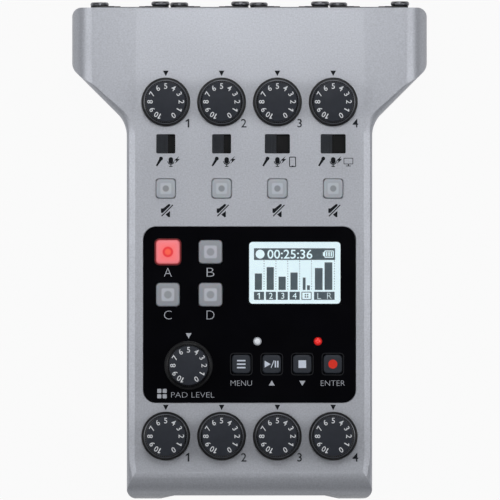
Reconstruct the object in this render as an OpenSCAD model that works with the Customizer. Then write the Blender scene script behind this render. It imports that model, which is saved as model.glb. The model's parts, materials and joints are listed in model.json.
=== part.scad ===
// Four-channel podcast recorder: a T-shaped hand-held case with four microphone
// sockets across its shoulders, two rows of volume knobs, a black control panel
// with a display, and headphone sockets along its front edge.
// +X is to the user's right, +Y towards the microphone sockets, +Z up.
// The origin is on the table, under the middle of the recorder.

/* [Case] */
// Width across the shoulders
shoulder_w = 112; // [110:0.5:116]
// Width of the lower body
body_w = 77.4; // [76.4:0.2:79]
// Length of the case without the socket flanges and screws
case_l = 155; // [153:0.5:158]
// Height of the case from its underside to its top plate
case_h = 38.3; // [38:0.1:42]
// Height of the bottom tray's outer wall
tray_h = 5.8; // [5:0.1:6.4]
// Thickness of the case's walls and top plate
wall = 2.2; // [1.8:0.1:2.5]
// Thickness of the rear wall that carries the sockets
rear_t = 3; // [2.8:0.1:4]
// Thickness of the tray's floor
floor_t = 2; // [1.8:0.1:2.4]
// Length of the shoulders' straight sides
shoulder_l = 19.2; // [18:0.1:20]
// Fall of the top plate over the shoulders, in degrees
shoulder_fall = 3.5; // [2:0.5:5]
// Radius of the shoulders' outer top edges
shoulder_edge_r = 8; // [6:0.5:9]
// Radius of the lower body's top edges
body_edge_r = 3.4; // [2.6:0.1:4]
// Radius of the front top edge
front_edge_r = 9.5; // [7:0.5:10]
// Radius of the rear top edge
rear_edge_r = 1; // [0.5:0.1:1.4]
// Radius of the hollow between shoulder and lower body
neck_r = 10; // [8:0.5:12]
// Radius of the shoulders' lower corners
shoulder_r = 4.6; // [3:0.2:6]
// Radius of the case's front and rear corners in plan
corner_r = 3; // [2.6:0.1:3.6]
// Height and inset of the step round the tray's lower edge
tray_step = 1.2; // [0.8:0.1:1.6]
// Depth of the shallow recess in the front wall
front_recess = 1; // [0.5:0.1:1.2]
// Width of that recess at its floor
front_recess_w = 47.4; // [46:0.2:50]
// Length of the ramp at each end of that recess
front_ramp = 4.4; // [3:0.2:6]

/* [Controls] */
// Distance between channel columns
channel_pitch = 17.6; // [17.2:0.1:18]
// Distance of the gain knobs from the rear wall
gain_from_rear = 29.8; // [29.4:0.1:31]
// Distance of the mode switches from the rear wall
mode_from_rear = 43; // [42:0.1:44]
// Distance of the mute buttons from the rear wall
mute_from_rear = 57.1; // [56:0.1:58]
// Distance of the phones knobs from the front wall
phones_from_front = 19.8; // [19.4:0.1:20.4]
// Diameter of a knob's flange
knob_d = 15.4; // [14.6:0.1:16]
// Thickness of that flange
knob_flange_t = 1.1; // [0.8:0.1:1.6]
// Diameter of a knob's body above the flange
knob_body_d = 13.6; // [13:0.1:14]
// Diameter of a knob at its top
knob_top_d = 13; // [12.4:0.1:13.4]
// Height of a knob
knob_h = 7; // [6:0.1:8]
// Gap between a knob and the plate under it
knob_gap = 0.5; // [0.3:0.1:0.8]
// Thickness of a knob's wall
knob_skirt = 1.5; // [1.2:0.1:2]
// Diameter of a knob's stem
stem_d = 6; // [5:0.1:6.2]
// Side of a mute button
mute_s = 6.1; // [6:0.1:7]
// Side of a pad button
pad_s = 7.4; // [6.8:0.1:8]
// Side of a transport button
key_s = 5.8; // [5.4:0.1:6]
// Height of the buttons above their plate
button_proud = 0.9; // [0.8:0.1:1.5]
// Travel of a button
button_travel = 0.6; // [0.4:0.1:0.7]
// Side of a mode slider's slot along the case
slot_l = 6.1; // [5.4:0.1:6.2]
// Width of a two-position slot
slot_two_w = 6; // [5.6:0.1:6.4]
// Width of a three-position slot
slot_three_w = 7.9; // [7.4:0.1:8]
// Width of a mode slider's cap
slider_cap_w = 3.5; // [3.3:0.1:3.8]

/* [Control panel] */
// Width of the black panel
panel_w = 67; // [66:0.2:67.6]
// Length of the black panel
panel_l = 55.5; // [55:0.1:56]
// Thickness of the black panel
panel_t = 1.5; // [1.2:0.1:1.8]
// Depth of the panel's face below the top plate
panel_sunk = 0.3; // [0.1:0.1:0.5]
// Corner radius of the black panel
panel_r = 4.2; // [3:0.1:5]
// Distance of the panel's middle from the rear wall
panel_from_rear = 96.9; // [96.6:0.1:97.2]
// Width of the display window
window_w = 29.2; // [27:0.1:29.6]
// Length of the display window
window_l = 19.9; // [18:0.1:20.4]
// Thickness of the plate behind the panel
panel_seat_t = 1.7; // [1.4:0.1:2]
// Diameter of the status lights
led_d = 2.3; // [1.8:0.1:2.6]

/* [Sockets] */
// Room between the shoulders' sides and the row of microphone sockets
socket_edge = 5.6; // [5.2:0.1:6]
// Gap between two microphone sockets' flanges
flange_gap = 0.6; // [0.4:0.1:1.2]
// Height of a microphone socket's flange
flange_h = 30; // [29.6:0.1:30.2]
// Thickness of that flange
flange_t = 1.6; // [1.4:0.1:1.9]
// Height of the flange above the rear wall
flange_proud = 0.5; // [0.3:0.1:0.8]
// Rim of the flange at each side of a microphone socket's barrel
barrel_rim = 0.7; // [0.6:0.1:1]
// Depth of the barrel behind the flange
barrel_l = 19.4; // [18:0.1:19.8]
// Thickness of the barrel round the microphone socket's opening
barrel_t = 3.5; // [3.4:0.1:3.6]
// Depth of that opening
socket_depth = 15.5; // [14:0.1:16]
// Gap between that opening and the core that holds the contacts
plug_gap = 1.5; // [1.4:0.1:1.8]
// Distance of the flange screws from the flange's sides
screw_edge = 2.6; // [2.5:0.1:2.8]
// Upright distance of the flange screws
screw_pitch_z = 24; // [23.8:0.1:24.2]
// Diameter of a headphone socket's bore
jack_bore_d = 3.6; // [3.5:0.1:3.8]
// Depth of that bore
jack_depth = 13; // [12:0.1:13.4]
// Distance between headphone sockets
jack_pitch = 13.5; // [13:0.1:14]
// Height of the headphone sockets' axes above the tray floor
jack_rise = 11.8; // [11.2:0.1:12.2]

/* [Power] */
// Diameter of a battery cell
cell_d = 14.5; // [14:0.1:14.6]
// Room for the contact at each end of a battery cell
cell_end_room = 2.75; // [2.7:0.05:3.4]
// Width of the battery bay inside its walls
bay_w = 32.8; // [32.4:0.1:33.4]
// Length of the battery bay inside its walls
bay_l = 56; // [55.4:0.1:57]
// Width of the memory card
card_w = 24; // [23.6:0.1:24.2]
// Length of the memory card
card_l = 32; // [30:0.1:32.4]
// Thickness of the memory card
card_t = 2.1; // [1.8:0.1:2.1]

/* [Board and feet] */
// Thickness of the circuit boards
board_t = 1.6; // [1.2:0.1:1.6]
// Depth of the main board's top below the top plate
board_drop = 11.9; // [11.6:0.1:12]
// Width of the main board
board_w = 62; // [61.8:0.1:62.4]
// Height of a potentiometer's body
pot_h = 6; // [5.6:0.1:6.3]
// Diameter of a foot
foot_d = 10; // [8:0.5:11]
// Height of a foot below the tray
foot_h = 1.2; // [1:0.1:2]

/* [Hidden] */
$fn = 64;

// Clearances between pieces
slip = 0.15;
run_gap = 0.08;
thread_gap = 0.05;
lift_gap = 0.1;

// Overshoot of cutting bodies
over = 1;

// The case's rounds meet their straights at a slight angle, so that each arc has clean ends
round_meet = 5;
round_swell = 1 / cos(round_meet);
spandrel_reach = 1.3;
least_r = 0.4;
neck_depth = 2;

// Small hardware
screw_head_h = 1.5;
screw_head_d = 5.8;
screw_shank_d = 2.4;
screw_bite = 2.5;
cross_l = 3;
cross_w = 0.7;
cross_depth = 0.8;
case_head_d = 5.2;
case_head_h = 1.6;
case_head_sunk = 0.2;
case_screw_l = 13;
tip_room = 1;
board_head_d = 4.2;
board_head_h = 1.4;
board_shank_d = 1.9;
board_screw_l = 5;
boss_d = 5.2;
board_boss_d = 4.8;
foot_sunk = 0.8;

// Levels and ends of the case
rear_proud = flange_proud + screw_head_h;
y_rear = (case_l - rear_proud) / 2;
y_front = -(case_l + rear_proud) / 2;
z_base = foot_h;
z_floor = z_base + floor_t;
z_split = z_base + tray_h;
z_top = z_base + case_h;
z_ceiling = z_top - wall;
z_board = z_top - board_drop;
z_board_under = z_board - board_t;

// Shoulders: the flanks run at 45 degrees
flank_turn = 45;
flank_reach = tan(flank_turn / 2);
flank_cos = cos(flank_turn);
y_shoulder = y_rear - shoulder_l;
y_neck = y_shoulder - (shoulder_w - body_w) / 2;

// The shoulders fall away from where the lower body's edges start to turn down
plateau_gap = 0.1;
plateau_w = body_w - 2 * body_edge_r * (1 - sin(round_meet)) + 2 * plateau_gap;

// Rows and columns of controls
gain_y = y_rear - gain_from_rear;
mode_y = y_rear - mode_from_rear;
mute_y = y_rear - mute_from_rear;
phones_y = y_front + phones_from_front;
panel_y = y_rear - panel_from_rear;
z_panel = z_top - panel_sunk;
z_seat = z_panel - panel_t;
z_seat_under = z_seat - panel_seat_t;
seat_margin = 2;
channels = 4;
channel_mid = (channels + 1) / 2;
function channel_x(i) = (i - channel_mid) * channel_pitch;

// Places on the control panel, from the panel's middle
pad_col_x = [-25.75, -12.3];
pad_row_y = [19.8, 6.3];
window_at = [14.3, 13.2];
pad_knob_at = [-19.2, -16];
key_first = [-2.6, -15.6];
key_pitch = 9.63;
led_at = [[2.5, -8.4], [21.6, -8.4]];
function on_panel(p) = [p[0], p[1] + panel_y];
function pad_at(i) = on_panel([pad_col_x[i % 2], pad_row_y[floor(i / 2)]]);
function key_at(i) = on_panel([key_first[0] + i * key_pitch, key_first[1]]);

// Buttons
button_gap = 0.15;
button_r = 0.9;
button_lip = 0.9;
button_lip_t = 1;
plunger_d = 3.2;
plunger_in = 0.6;
plunger_room = 0.3;
switch_s = 6;
switch_h = 4.3;
z_switch = z_board + switch_h;

// Knobs and potentiometers
stem_hole_gap = 0.6;
stem_hole_d = stem_d + 2 * stem_hole_gap;
knob_chamfer = 0.5;
knob_roof = 2.2;
stem_in = 4;
stem_room = 0.4;
pot_w = 9;
pot_l = 10;
pot_neck_t = 1.2;
pot_neck_d = stem_d + 2 * pot_neck_t;
pot_neck_h = 2;
z_pot = z_board + pot_h;
z_stem = z_pot - stem_in;

// Mode sliders
slider_plate_t = 1;
slider_plate_lap = 0.8;
slider_plate_reach = 0.3;
slider_proud = 0.3;
slider_leg = 2;
slider_leg_in = 2;
mode_body_w = 9;
mode_body_l = 6.4;
mode_body_h = 5.6;
z_mode = z_board + mode_body_h;
function slot_w(i) = i > 2 ? slot_three_w : slot_two_w;
function slider_travel(i) = slot_w(i) - slider_cap_w - 2 * button_gap;
function slider_x(i) = channel_x(i) - slider_travel(i) / 2;

// Display
lcd_glass_rim = 0.7;
lcd_frame_rim = 1.6;
lcd_gap = 0.15;
lcd_frame_gap = 0.5;
z_lcd_frame = z_seat_under - lcd_frame_gap;
led_foot_d = 3.4;
led_foot_h = 2;

// Microphone sockets, which share the width between the shoulders' sides
socket_pitch = (shoulder_w - 2 * socket_edge) / channels;
flange_w = socket_pitch - flange_gap;
barrel_d = flange_w - 2 * barrel_rim;
socket_d = barrel_d - 2 * barrel_t;
core_d = socket_d - 2 * plug_gap;
screw_pitch_x = flange_w - 2 * screw_edge;
socket_rise = 0.4;
z_socket = z_split + socket_rise + flange_h / 2;
y_flange = y_rear + flange_proud;
y_pocket = y_flange - flange_t;
y_barrel = y_pocket - barrel_l;
flange_r = 2;
core_sunk = 0.8;
pin_edge = 2.5;
pin_r = core_d / 2 - pin_edge;
contact_d = 3.1;
contact_bore_d = 2.5;
contact_bore_l = 10;
contact_sunk = 0.4;
tail_d = 1.2;
latch_w = 9.4;
latch_edge = 0.2;
latch_z1 = flange_h / 2 - latch_edge;
latch_sunk = 0.4;
latch_travel = 1.2;
latch_room = 0.3;
latch_back = latch_sunk + latch_travel + latch_room;
latch_arm_w = 5.6;
latch_arm_l = 9;
latch_arm_t = 1.6;
latch_arm_rise = 1.3;
latch_arm_z0 = socket_d / 2 + latch_arm_rise;
latch_z0 = latch_arm_z0 + latch_arm_t;
latch_tip_rise = 0.8;
latch_tip_z = core_d / 2 + latch_tip_rise;
latch_tip_l = 2.4;
function socket_x(i) = (i - channel_mid) * socket_pitch;
function pin_xz(k) = [pin_r * [1, -1, 0][k], pin_r * [0, 0, -1][k]];

// Boards
mic_board_reach = 5.2;
mic_board_w = (channels - 1) * socket_pitch + 2 * mic_board_reach;
mic_board_rise = 1;
tail_l = 1.9;
y_mic_board = y_barrel - tail_l;
mic_board_top_gap = 0.5;
board_front_gap = 12;
board_rear_lap = 0.4;
board_rear_y = y_mic_board + board_rear_lap;
board_tab_gap = 0.5;
board_screw_d = 2.6;
board_boss_inset = 2.4;
board_boss_x = board_w / 2 - board_boss_inset;
board_boss_from_panel = [30.4, -6.6];
board_boss_y = [for (y = board_boss_from_panel) panel_y + y];
board_boss_lead = 1.3;
board_bosses = concat([[0, gain_y], [0, phones_y - board_boss_lead]],
    [for (y = board_boss_y, s = [-1, 1]) [s * board_boss_x, y]]);
jack_board_reach = 9.75;
jack_board_w = (channels - 1) * jack_pitch + 2 * jack_board_reach;
jack_board_l = 14.8;
jack_board_gap = 1.5;

// Headphone and headset sockets
jack_w = 8;
jack_h = 7;
jack_nose_d = 6;
jack_inset = 0.1;
z_jack = z_floor + jack_rise;
z_jack_board = z_jack - jack_h / 2;
y_front_face = y_front + front_recess;
y_front_inner = y_front + wall;
y_jack_board = y_front_inner + jack_board_gap;
jack_boss_inset = 3.3;
jack_board_bosses = [for (s = [-1, 1])
    [s * jack_pitch, y_jack_board + jack_board_l - jack_boss_inset]];
z_jack_tip = z_jack_board - board_t - board_screw_l;
headset_from_panel = 42.4;
headset_y = panel_y + headset_from_panel;
jack_back_t = 1;
headset_h = 6;
z_headset = z_board_under - headset_h / 2;
function jack_x(i) = (i - channel_mid) * jack_pitch;

// Side ports
side_x = body_w / 2;
port_inset = 0.4;
usb_from_panel = [21.4, 7.4];
usb_y = [for (y = usb_from_panel) panel_y + y];
usb_w = 8.94;
usb_h = 3.2;
usb_l = 7.3;
usb_shell_t = 0.3;
usb_tongue_w = 6.7;
usb_tongue_t = 0.7;
usb_hole_gap = 0.25;
z_usb = z_board_under - usb_h / 2;
power_from_panel = 46.4;
power_y = panel_y + power_from_panel;
power_travel = 3;
power_cap_l = 5;
power_cap_h = 3;
power_sunk = 0.2;
power_plate_t = 0.8;
power_plate_lap = 0.8;
power_body_l = 12;
power_body_w = 5;
power_body_h = 4.4;
power_leg_in = 1.2;
power_leg = 1.6;
power_plate_gap = 0.2;
power_leg_l = 1.6;
z_power = z_board_under - power_body_h / 2;
power_slot_l = power_cap_l + power_travel + 2 * button_gap;
usb_back_t = 1;
usb_tongue_sunk = 1;
card_from_panel = 10.4;
card_y = panel_y + card_from_panel;
card_h = 3.1;
card_inset = 0.5;
card_side_t = 1.6;
card_back_t = 1.2;
card_back_gap = 0.3;
card_slot_gap = 0.3;
card_notch = [0.8, 2.2, 0.4];
card_tab_margin = 1;
z_card = z_board_under - card_h / 2;

// Battery bay
bay_from_panel = -7.6;
bay_y = panel_y + bay_from_panel;
bay_t = 1.4;
bay_gap = 0.2;
bay_lap = 1;
door_lap_t = 0.8;
bay_roof_gap = 0.3;
cell_gap = 0.3;
cell_l = bay_l - 2 * cell_end_room;
contact_plate_t = 0.4;
contact_plate_s = 9;
spring_d0 = 8;
spring_d1 = 4;
cell_tip_d = 5.2;
cell_tip_l = 1;
lip_t = 1.2;
lip_h = 2;
door_wall_depth = wall + slip + lip_t + bay_gap;
bay_x0 = -side_x + door_wall_depth + bay_t;
grip_count = 4;
grip_first = 6;
grip_pitch = 1.6;
grip_w = 0.7;
grip_depth = 0.4;
z_cell = z_floor + bay_gap + cell_d / 2;
z_bay_roof = z_floor + bay_gap + cell_d + bay_roof_gap;
bay_x1 = bay_x0 + bay_l;
door_open_w = bay_w - 2 * bay_lap - 2 * bay_gap;
door_x1 = bay_x1 - bay_lap;

// Screws and feet of the case
front_boss_in = [-4.7, 13.5];
rear_boss_in = [2.3, 8.9];
front_boss = [side_x, y_front] + front_boss_in;
rear_boss = [side_x, y_neck] + rear_boss_in;
case_bosses = [for (p = [front_boss, rear_boss], s = [-1, 1]) [s * p[0], p[1]]];
case_hole_d = 3.2;
case_post_d = 7.4;
front_foot_in = [-13.7, 9.5];
rear_foot_in = [-12, -11.5];
front_foot = [side_x, y_front] + front_foot_in;
rear_foot = [shoulder_w / 2, y_rear] + rear_foot_in;
feet = [for (p = [front_foot, rear_foot], s = [-1, 1]) [s * p[0], p[1]]];

// Rounded rectangle round the origin
module rounded(w, l, r) {
    square([w - 2 * r, l], center = true);
    square([w, l - 2 * r], center = true);
    for (sx = [-1, 1], sy = [-1, 1])
        translate([sx * (w / 2 - r), sy * (l / 2 - r)]) circle(r);
}

// Upright plate with rounded corners between two levels
module plate(w, l, r, z0, z1) {
    translate([0, 0, z0]) linear_extrude(z1 - z0) rounded(w, l, r);
}

// Plain box between two levels, centred in plan
module slab(w, l, z0, z1) {
    translate([-w / 2, -l / 2, z0]) cube([w, l, z1 - z0]);
}

// Upright rod between two levels
module rod(d, z0, z1) {
    translate([0, 0, z0]) cylinder(d = d, h = z1 - z0);
}

// Flat outline drawn in x and z, run along y between two places
module along_y(y0, y1) {
    translate([0, y1, 0]) rotate([90, 0, 0]) linear_extrude(y1 - y0) children();
}

// Flat outline drawn in y and z, run along x between two places
module along_x(x0, x1) {
    translate([x0, 0, 0]) rotate([90, 0, 90]) linear_extrude(x1 - x0) children();
}

// Both sides of the case
module both_sides() {
    children();
    mirror([1, 0, 0]) children();
}

// Corner piece beyond a circle between two of its tangents, reaching past them
module corner_spandrel(corner, from, centre, to, r) {
    difference() {
        polygon([for (p = [corner, from, centre, to]) centre + (p - centre) * spandrel_reach]);
        translate(centre) circle(r * round_swell);
    }
}

// Outline of the case in plan, drawn in by an inset
module plan(inset = 0) {
    bx = body_w / 2 - inset;
    sx = shoulder_w / 2 - inset;
    yf = y_front + inset;
    yr = y_rear - inset;
    ys = y_shoulder + inset * flank_reach;
    yn = y_neck + inset * flank_reach;
    nr = neck_r + inset;
    nt = nr * flank_reach;
    sr = max(shoulder_r - inset, least_r);
    st = sr * flank_reach;
    cr = max(corner_r - inset, least_r);
    difference() {
        union() {
            polygon([[-bx, yf], [bx, yf], [bx, yn], [sx, ys], [sx, yr],
                [-sx, yr], [-sx, ys], [-bx, yn]]);
            both_sides()
                corner_spandrel([bx, yn], [bx, yn - nt], [bx + nr, yn - nt],
                    [bx + nt * flank_cos, yn + nt * flank_cos], nr);
        }
        both_sides() {
            corner_spandrel([sx, ys], [sx, ys + st], [sx - sr, ys + st],
                [sx - st * flank_cos, ys - st * flank_cos], sr);
            corner_spandrel([sx, yr], [sx - cr, yr], [sx - cr, yr - cr], [sx, yr - cr], cr);
            corner_spandrel([bx, yf], [bx, yf + cr], [bx - cr, yf + cr], [bx - cr, yf], cr);
        }
    }
}

// Cross-section of the case in x and z: level top, falling shoulders, rolled outer edges
module cross_profile(inset) {
    half = shoulder_w / 2 - inset;
    top = z_top - inset;
    r = shoulder_edge_r - inset;
    xc = half - r;
    zc = top - (xc - plateau_w / 2) * tan(shoulder_fall) - r / cos(shoulder_fall);
    xt = xc + r * sin(shoulder_fall);
    zt = zc + r * cos(shoulder_fall);
    z_edge = top - (half - plateau_w / 2) * tan(shoulder_fall);
    difference() {
        polygon([[-half, 0], [half, 0], [half, z_edge], [plateau_w / 2, top],
            [-plateau_w / 2, top], [-half, z_edge]]);
        both_sides() corner_spandrel([half, z_edge], [half, zc], [xc, zc], [xt, zt], r);
    }
}

// Side view of the upper case in y and z: rolled front edge and a tight rear edge
module long_profile(inset, z0) {
    yf = y_front + inset;
    yr = y_rear - inset;
    top = z_top - inset;
    fr = front_edge_r - inset;
    rr = max(rear_edge_r - inset, least_r);
    difference() {
        polygon([[yf, z0], [yr, z0], [yr, top], [yf, top]]);
        corner_spandrel([yf, top], [yf, top - fr], [yf + fr, top - fr], [yf + fr, top], fr);
        corner_spandrel([yr, top], [yr - rr, top], [yr - rr, top - rr], [yr, top - rr], rr);
    }
}

// Section of an edge cutter: what a round edge takes off a square one
module round_edge_section(r, top) {
    difference() {
        translate([-over, top - r]) square([r + over, r + over]);
        translate([r, top - r]) circle(r * round_swell);
    }
}

// Runs a section along a straight stretch of outline, its first axis pointing into the case
module run_straight(p, q) {
    translate([p[0], p[1], 0]) rotate([0, 0, atan2(q[1] - p[1], q[0] - p[0])])
        rotate([90, 0, 90]) linear_extrude(norm(q - p)) children();
}

// Cross-section of the lower body in x and z, its top edges rounded
module body_profile(inset, z0) {
    bx = body_w / 2 - inset;
    top = z_top - inset;
    r = body_edge_r - inset;
    difference() {
        translate([-bx, z0]) square([2 * bx, top - z0]);
        both_sides() corner_spandrel([bx, top], [bx, top - r], [bx - r, top - r], [bx - r, top], r);
    }
}

// Lower body of the upper case, reaching back into the shoulders
module body_block(inset, z0) {
    bx = body_w / 2 - inset;
    yf = y_front + inset;
    cr = max(corner_r - inset, least_r);
    difference() {
        along_y(yf, y_neck + neck_depth) body_profile(inset, z0);
        both_sides() translate([0, 0, z0 - over]) linear_extrude(z_top)
            corner_spandrel([bx, yf], [bx, yf + cr], [bx - cr, yf + cr], [bx - cr, yf], cr);
    }
}

// Shoulders of the upper case, with rounded corners and rounded flanks
module shoulder_block(inset, z0) {
    bx = body_w / 2 - inset;
    sx = shoulder_w / 2 - inset;
    yr = y_rear - inset;
    yn = y_neck + inset * flank_reach;
    ys = y_shoulder + inset * flank_reach;
    cr = max(corner_r - inset, least_r);
    sr = max(shoulder_r - inset, least_r);
    st = sr * flank_reach;
    difference() {
        intersection() {
            translate([0, 0, z0]) linear_extrude(z_top - z0 + over) difference() {
                polygon([[-bx, yn], [bx, yn], [sx, ys], [sx, yr], [-sx, yr], [-sx, ys]]);
                both_sides() {
                    corner_spandrel([sx, ys], [sx, ys + st], [sx - sr, ys + st],
                        [sx - st * flank_cos, ys - st * flank_cos], sr);
                    corner_spandrel([sx, yr], [sx - cr, yr], [sx - cr, yr - cr], [sx, yr - cr], cr);
                }
            }
            along_y(y_neck - over, y_rear + over) cross_profile(inset);
        }
        both_sides() run_straight([bx - over, yn - over], [sx + over, ys + over])
            round_edge_section(body_edge_r - inset, z_top - inset);
    }
}

// Hollow between the lower body and the right shoulder's flank, with its rounded top edge
module neck_block(inset, z0) {
    bx = body_w / 2 - inset;
    yn = y_neck + inset * flank_reach;
    top = z_top - inset;
    r = body_edge_r - inset;
    nr = neck_r + inset;
    x0 = nr * round_swell;
    translate([bx + nr, yn - nr * flank_reach, 0]) rotate([0, 0, 180 - flank_turn])
        rotate_extrude(angle = flank_turn) difference() {
            translate([x0, z0]) square([r + neck_depth, top - z0]);
            corner_spandrel([x0, top], [x0, top - r], [x0 + r, top - r], [x0 + r, top], r);
        }
}

// Outer or inner form of the upper case: its blocks reach down to different depths, and one cut levels them
module upper_form(inset, z0) {
    intersection() {
        union() {
            body_block(inset, z0 - over);
            shoulder_block(inset, z0 - 2 * over);
            both_sides() intersection() {
                neck_block(inset, z0 - 3 * over);
                along_y(y_front, y_rear) cross_profile(inset);
            }
        }
        along_x(-shoulder_w, shoulder_w) long_profile(inset, z0);
    }
}

// Shallow recess along the front wall, with a ramp at each end
module front_recess_cut() {
    half = front_recess_w / 2;
    translate([0, 0, -over]) linear_extrude(z_top + 2 * over)
        polygon([[-half - front_ramp, y_front], [-half - front_ramp, y_front - over],
            [half + front_ramp, y_front - over], [half + front_ramp, y_front],
            [half, y_front_face], [-half, y_front_face]]);
}

// Pieces set out over every channel
module at_channels(y) {
    for (i = [1:channels]) translate([channel_x(i), y, 0]) children();
}

module at_pads() {
    for (i = [0:3]) translate(pad_at(i)) children();
}

module at_keys() {
    for (i = [0:3]) translate(key_at(i)) children();
}

module at_all_knobs() {
    at_channels(gain_y) children();
    at_channels(phones_y) children();
    translate(on_panel(pad_knob_at)) children();
}

module at_sockets() {
    for (i = [1:channels]) translate([socket_x(i), 0, z_socket]) children();
}

// The upper-right and lower-left flange screws of every socket
module at_socket_screws() {
    at_sockets() for (s = [-1, 1])
        translate([s * screw_pitch_x / 2, 0, s * screw_pitch_z / 2]) rotate([-90, 0, 0]) children();
}

// Holes that the buttons, knobs and sliders need in the plates round them
module control_holes(z0, z1) {
    at_all_knobs() rod(stem_hole_d, z0, z1);
    at_channels(mute_y) plate(mute_s + 2 * button_gap, mute_s + 2 * button_gap, button_r, z0, z1);
    for (i = [1:channels]) translate([channel_x(i), mode_y, 0]) slab(slot_w(i), slot_l, z0, z1);
    at_pads() plate(pad_s + 2 * button_gap, pad_s + 2 * button_gap, button_r, z0, z1);
    at_keys() plate(key_s + 2 * button_gap, key_s + 2 * button_gap, button_r, z0, z1);
    for (p = led_at) translate(on_panel(p)) rod(led_d + 2 * slip, z0, z1);
}

// Long slot with round ends in a side wall, drawn in y and z
module stadium(l, h) {
    square([l - h, h], center = true);
    for (s = [-1, 1]) translate([s * (l - h) / 2, 0]) circle(d = h);
}

// Openings in the side walls for the ports, the power slider and the memory card
module side_holes() {
    for (y = usb_y) along_x(-side_x - over, -side_x + wall + over) translate([y, z_usb])
        stadium(usb_w + 2 * usb_hole_gap, usb_h + 2 * usb_hole_gap);
    along_x(-side_x - over, -side_x + wall + over) translate([power_y, z_power])
        square([power_slot_l, power_cap_h + 2 * button_gap], center = true);
    along_x(side_x - wall - over, side_x + over) translate([headset_y, z_headset])
        circle(d = jack_nose_d + 2 * slip);
    along_x(side_x - wall - over, side_x + over) translate([card_y, z_card])
        square([card_w + 2 * usb_hole_gap, card_t + 2 * usb_hole_gap], center = true);
}

// Rear wall: a shallow pocket for the flanges, a hole and a tab window for each socket
module rear_holes() {
    pocket_w = (channels - 1) * socket_pitch + flange_w + 2 * slip;
    pocket_top = z_socket + flange_h / 2 + slip;
    translate([-pocket_w / 2, y_pocket, z_split - over])
        cube([pocket_w, flange_t + over, pocket_top - z_split + over]);
    at_sockets() {
        along_y(y_rear - rear_t - over, y_rear + over) circle(d = barrel_d + 2 * slip);
        translate([-latch_w / 2 - slip, y_rear - rear_t - over, 0])
            cube([latch_w + 2 * slip, rear_t + over, latch_z1 + slip]);
    }
    at_socket_screws() translate([0, 0, y_rear - rear_t - boss_d])
        cylinder(d = screw_shank_d + 2 * thread_gap, h = rear_t + boss_d + over);
}

module top_shell() color([0.71, 0.72, 0.75]) difference() {
    union() {
        difference() {
            upper_form(0, z_split);
            intersection() {
                upper_form(wall, z_split - over);
                translate([-shoulder_w, y_front, 0])
                    cube([2 * shoulder_w, y_rear - rear_t - y_front, z_top]);
            }
        }
        intersection() {
            upper_form(0, z_split);
            union() {
                translate([0, panel_y, 0]) plate(panel_w + 2 * seat_margin,
                    panel_l + 2 * seat_margin, panel_r, z_seat_under, z_ceiling + over);
                for (p = case_bosses) translate(p) rod(boss_d, z_split, z_ceiling + over);
                for (p = board_bosses) translate(p) rod(board_boss_d, z_board, z_ceiling + over);
                at_socket_screws() translate([0, 0, y_rear - rear_t - boss_d])
                    cylinder(d = boss_d, h = boss_d + over);
            }
        }
    }
    front_recess_cut();
    translate([0, panel_y, 0]) plate(panel_w + 2 * slip, panel_l + 2 * slip, panel_r,
        z_seat, z_top + over);
    control_holes(z_seat_under - over, z_top + over);
    translate(on_panel(window_at)) slab(window_w + 2 * lcd_glass_rim + 2 * slip,
        window_l + 2 * lcd_glass_rim + 2 * slip, z_seat_under - over, z_seat + over);
    for (p = case_bosses) translate(p)
        rod(screw_shank_d + 2 * thread_gap, z_split - over, z_split + case_screw_l + tip_room);
    for (p = board_bosses) translate(p)
        rod(board_shank_d + 2 * thread_gap, z_board - over, z_board + board_screw_l + tip_room);
    rear_holes();
    for (i = [1:channels]) translate([jack_x(i), 0, z_jack])
        along_y(y_front - over, y_front_inner + over) circle(d = jack_nose_d + 2 * slip);
    side_holes();
}

// Room for the battery door in the tray's floor and left wall
module door_cut() {
    low_w = door_open_w + 2 * bay_gap;
    high_w = door_open_w + 2 * bay_lap + 2 * bay_gap;
    z_lap = z_floor - door_lap_t - bay_gap;
    translate([-side_x - over, bay_y - low_w / 2, z_base - over])
        cube([door_x1 + side_x + over + bay_gap, low_w, floor_t + 2 * over]);
    translate([-side_x - over, bay_y - high_w / 2, z_lap])
        cube([door_x1 + side_x + over + bay_lap + bay_gap, high_w, door_lap_t + bay_gap + over]);
    translate([-side_x - over, bay_y - high_w / 2, z_lap])
        cube([door_wall_depth + over, high_w, z_split + lip_h + over - z_lap]);
}

// Walls and roof round the battery cells, open below
module battery_bay() {
    z_under = z_floor + bay_gap;
    difference() {
        translate([bay_x0 - bay_t, bay_y - bay_w / 2 - bay_t, z_floor])
            cube([bay_l + 2 * bay_t, bay_w + 2 * bay_t, z_bay_roof + bay_t - z_floor]);
        translate([bay_x0, bay_y - bay_w / 2, z_floor - over])
            cube([bay_l, bay_w, z_bay_roof - z_floor + over]);
        translate([bay_x0 - bay_t - over, bay_y - bay_w / 2, z_floor - over])
            cube([bay_l + bay_t + over + bay_lap, bay_w, z_under - z_floor + over]);
    }
}

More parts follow.
